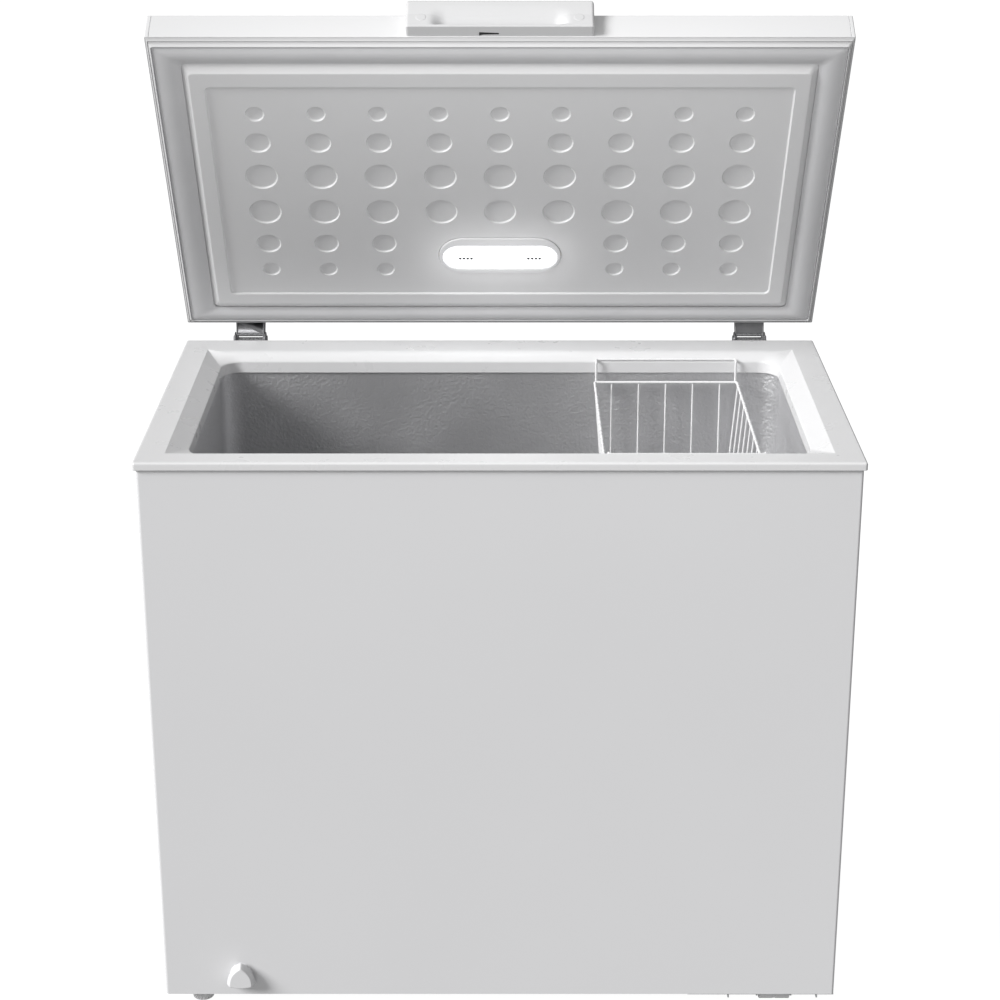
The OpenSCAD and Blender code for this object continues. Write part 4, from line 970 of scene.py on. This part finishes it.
def foot_loop(cx, cy, r, z, depth):
    """Circle with upright flutes cut into it to a depth."""
    pts = []
    for k in range(FLUTES * 12):
        a = 2 * math.pi * k / (FLUTES * 12)
        cut = depth * max(0, math.cos(FLUTES * a)) ** 0.6
        pts.append((cx + (r - cut) * math.cos(a), cy + (r - cut) * math.sin(a), z))
    return pts


for node_name, foot_body in (("front_foot", "front_left_foot"), ("rear_foot", "rear_left_foot")):
    foot_lo, foot_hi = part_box(node_name)
    cx = (foot_lo.x + foot_hi.x) / 2 / MM
    cy = (foot_lo.y + foot_hi.y) / 2 / MM - SHIFT_Y
    top = foot_hi.z / MM
    rings = [foot_loop(cx, cy, r, z, d) for r, z, d in [
        (13.2, 0, 0), (14.4, 0.4, 0), (14.9, 1.4, 0), (14.9, 2.2, 0), (14.9, 2.5, 1.5), (14.9, 17.4, 1.5),
        (14.9, 17.8, 0), (14.6, 18.7, 0), (14, 19, 0), (5.2, 19, 0), (5, 19.2, 0), (5, top - 0.6, 0),
        (4.5, top, 0)]]
    piece(node_name + "_glide", *loft(rings), foot_body, "foot_plastic", [node_name], angle=35)
for node_name, roller_body in (("front_roller", "front_right_roller"), ("rear_roller", "rear_right_roller")):
    roll_lo, roll_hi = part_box(node_name)
    x0, x1 = roll_lo.x / MM, roll_hi.x / MM
    cy = (roll_lo.y + roll_hi.y) / 2 / MM - SHIFT_Y
    big = (roll_hi.z - roll_lo.z) / 2 / MM
    cz = roll_lo.z / MM + big
    mid = (x0 + x1) / 2
    outline = [(x0, 3.1), (x0, big - 1.0), (x0 + 0.4, big - 0.3), (x0 + 1.2, big), (mid - 2.2, big),
               (mid - 1.6, big - 0.5), (mid + 1.6, big - 0.5), (mid + 2.2, big), (x1 - 1.2, big),
               (x1 - 0.4, big - 0.3), (x1, big - 1.0), (x1, 3.1)]
    rings = [circle(x, cy, cz, r, 64, "yz") for x, r in outline]
    piece(node_name + "_wheel", *loft(rings, closed=True), roller_body, "roller_plastic", [node_name],
          angle=35)

# ---------- studio, lights, camera ----------

def camera_only(obj):
    """The camera sees it; it gives no light, reflection or shadow."""
    obj.visible_diffuse = False
    obj.visible_glossy = False
    obj.visible_transmission = False
    obj.visible_shadow = False
    obj.visible_volume_scatter = False


def glowing(name, strength):
    mat = bpy.data.materials.new(name)
    mat.use_nodes = True
    bsdf = mat.node_tree.nodes["Principled BSDF"]
    bsdf.inputs["Base Color"].default_value = (0.12, 0.12, 0.12, 1)
    bsdf.inputs["Specular IOR Level"].default_value = 0.0
    bsdf.inputs["Roughness"].default_value = 1.0
    bsdf.inputs["Emission Color"].default_value = (1, 1, 1, 1)
    bsdf.inputs["Emission Strength"].default_value = strength
    return mat


STUDIO_R = 28.0
dome = bmesh.new()
bmesh.ops.create_uvsphere(dome, u_segments=96, v_segments=48, radius=STUDIO_R)
for v in dome.verts:
    v.co.z = max(v.co.z, 0)
bmesh.ops.remove_doubles(dome, verts=dome.verts, dist=0.0001)
bmesh.ops.reverse_faces(dome, faces=dome.faces)
dome_mesh = bpy.data.meshes.new("studio")
dome.to_mesh(dome_mesh)
dome.free()
studio = bpy.data.objects.new("studio", dome_mesh)
bpy.context.scene.collection.objects.link(studio)
dome_mesh.materials.append(glowing("studio_white", 0.98))
camera_only(studio)

world = bpy.data.worlds.new("studio_air")
world.use_nodes = True
air = world.node_tree.nodes["Background"]
air.inputs["Color"].default_value = (1, 1, 1, 1)
air.inputs["Strength"].default_value = 0.25
bpy.context.scene.world = world


def sun(name, direction, strength, angle):
    data = bpy.data.lights.new(name, "SUN")
    data.energy = strength
    data.angle = math.radians(angle)
    obj = bpy.data.objects.new(name, data)
    bpy.context.scene.collection.objects.link(obj)
    obj.rotation_mode = "QUATERNION"
    obj.rotation_quaternion = Vector(direction).to_track_quat("Z", "Y")
    return obj


def soft_box(name, place, target, size, power):
    data = bpy.data.lights.new(name, "AREA")
    data.shape = "RECTANGLE"
    data.size, data.size_y = size
    data.energy = power
    obj = bpy.data.objects.new(name, data)
    bpy.context.scene.collection.objects.link(obj)
    obj.location = place
    obj.rotation_mode = "QUATERNION"
    obj.rotation_quaternion = (Vector(place) - Vector(target)).to_track_quat("Z", "Y")
    obj.visible_camera = False
    obj.visible_glossy = False
    return obj


sun("key", (-0.764, -0.382, 0.519), 3.6, 24)
sun("fill", (0.05, -0.93, -0.36), 0.32, 60)
soft_box("tub_fill", (0, rim_lo.y - 0.05, rim_hi.z + 0.55), (0, rim_hi.y, rim_hi.z - 0.2), (0.9, 0.4), 1.0)
halo = soft_box("lamp_glow", to_row((0, LENS_Y, PANEL_Z - 55), OPEN), to_row((0, LENS_Y, PANEL_Z), OPEN),
                (0.17, 0.05), 0.035)
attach(halo, "lid")

CAMERA_BACK = 2.75725
CAMERA_UP = 0.978
CAMERA_TILT = 20.458
CAMERA_LENS = 82.18
cam_data = bpy.data.cameras.new("camera")
cam_data.lens = CAMERA_LENS
cam_data.sensor_width = 36
cam_data.clip_end = 100
camera = bpy.data.objects.new("camera", cam_data)
camera.location = (0.0001, rim_lo.y - CAMERA_BACK, rim_hi.z + CAMERA_UP)
camera.rotation_euler = (math.radians(90 - CAMERA_TILT), 0, 0)
bpy.context.scene.collection.objects.link(camera)
bpy.context.scene.camera = camera
bpy.context.scene.view_settings.view_transform = "Standard"
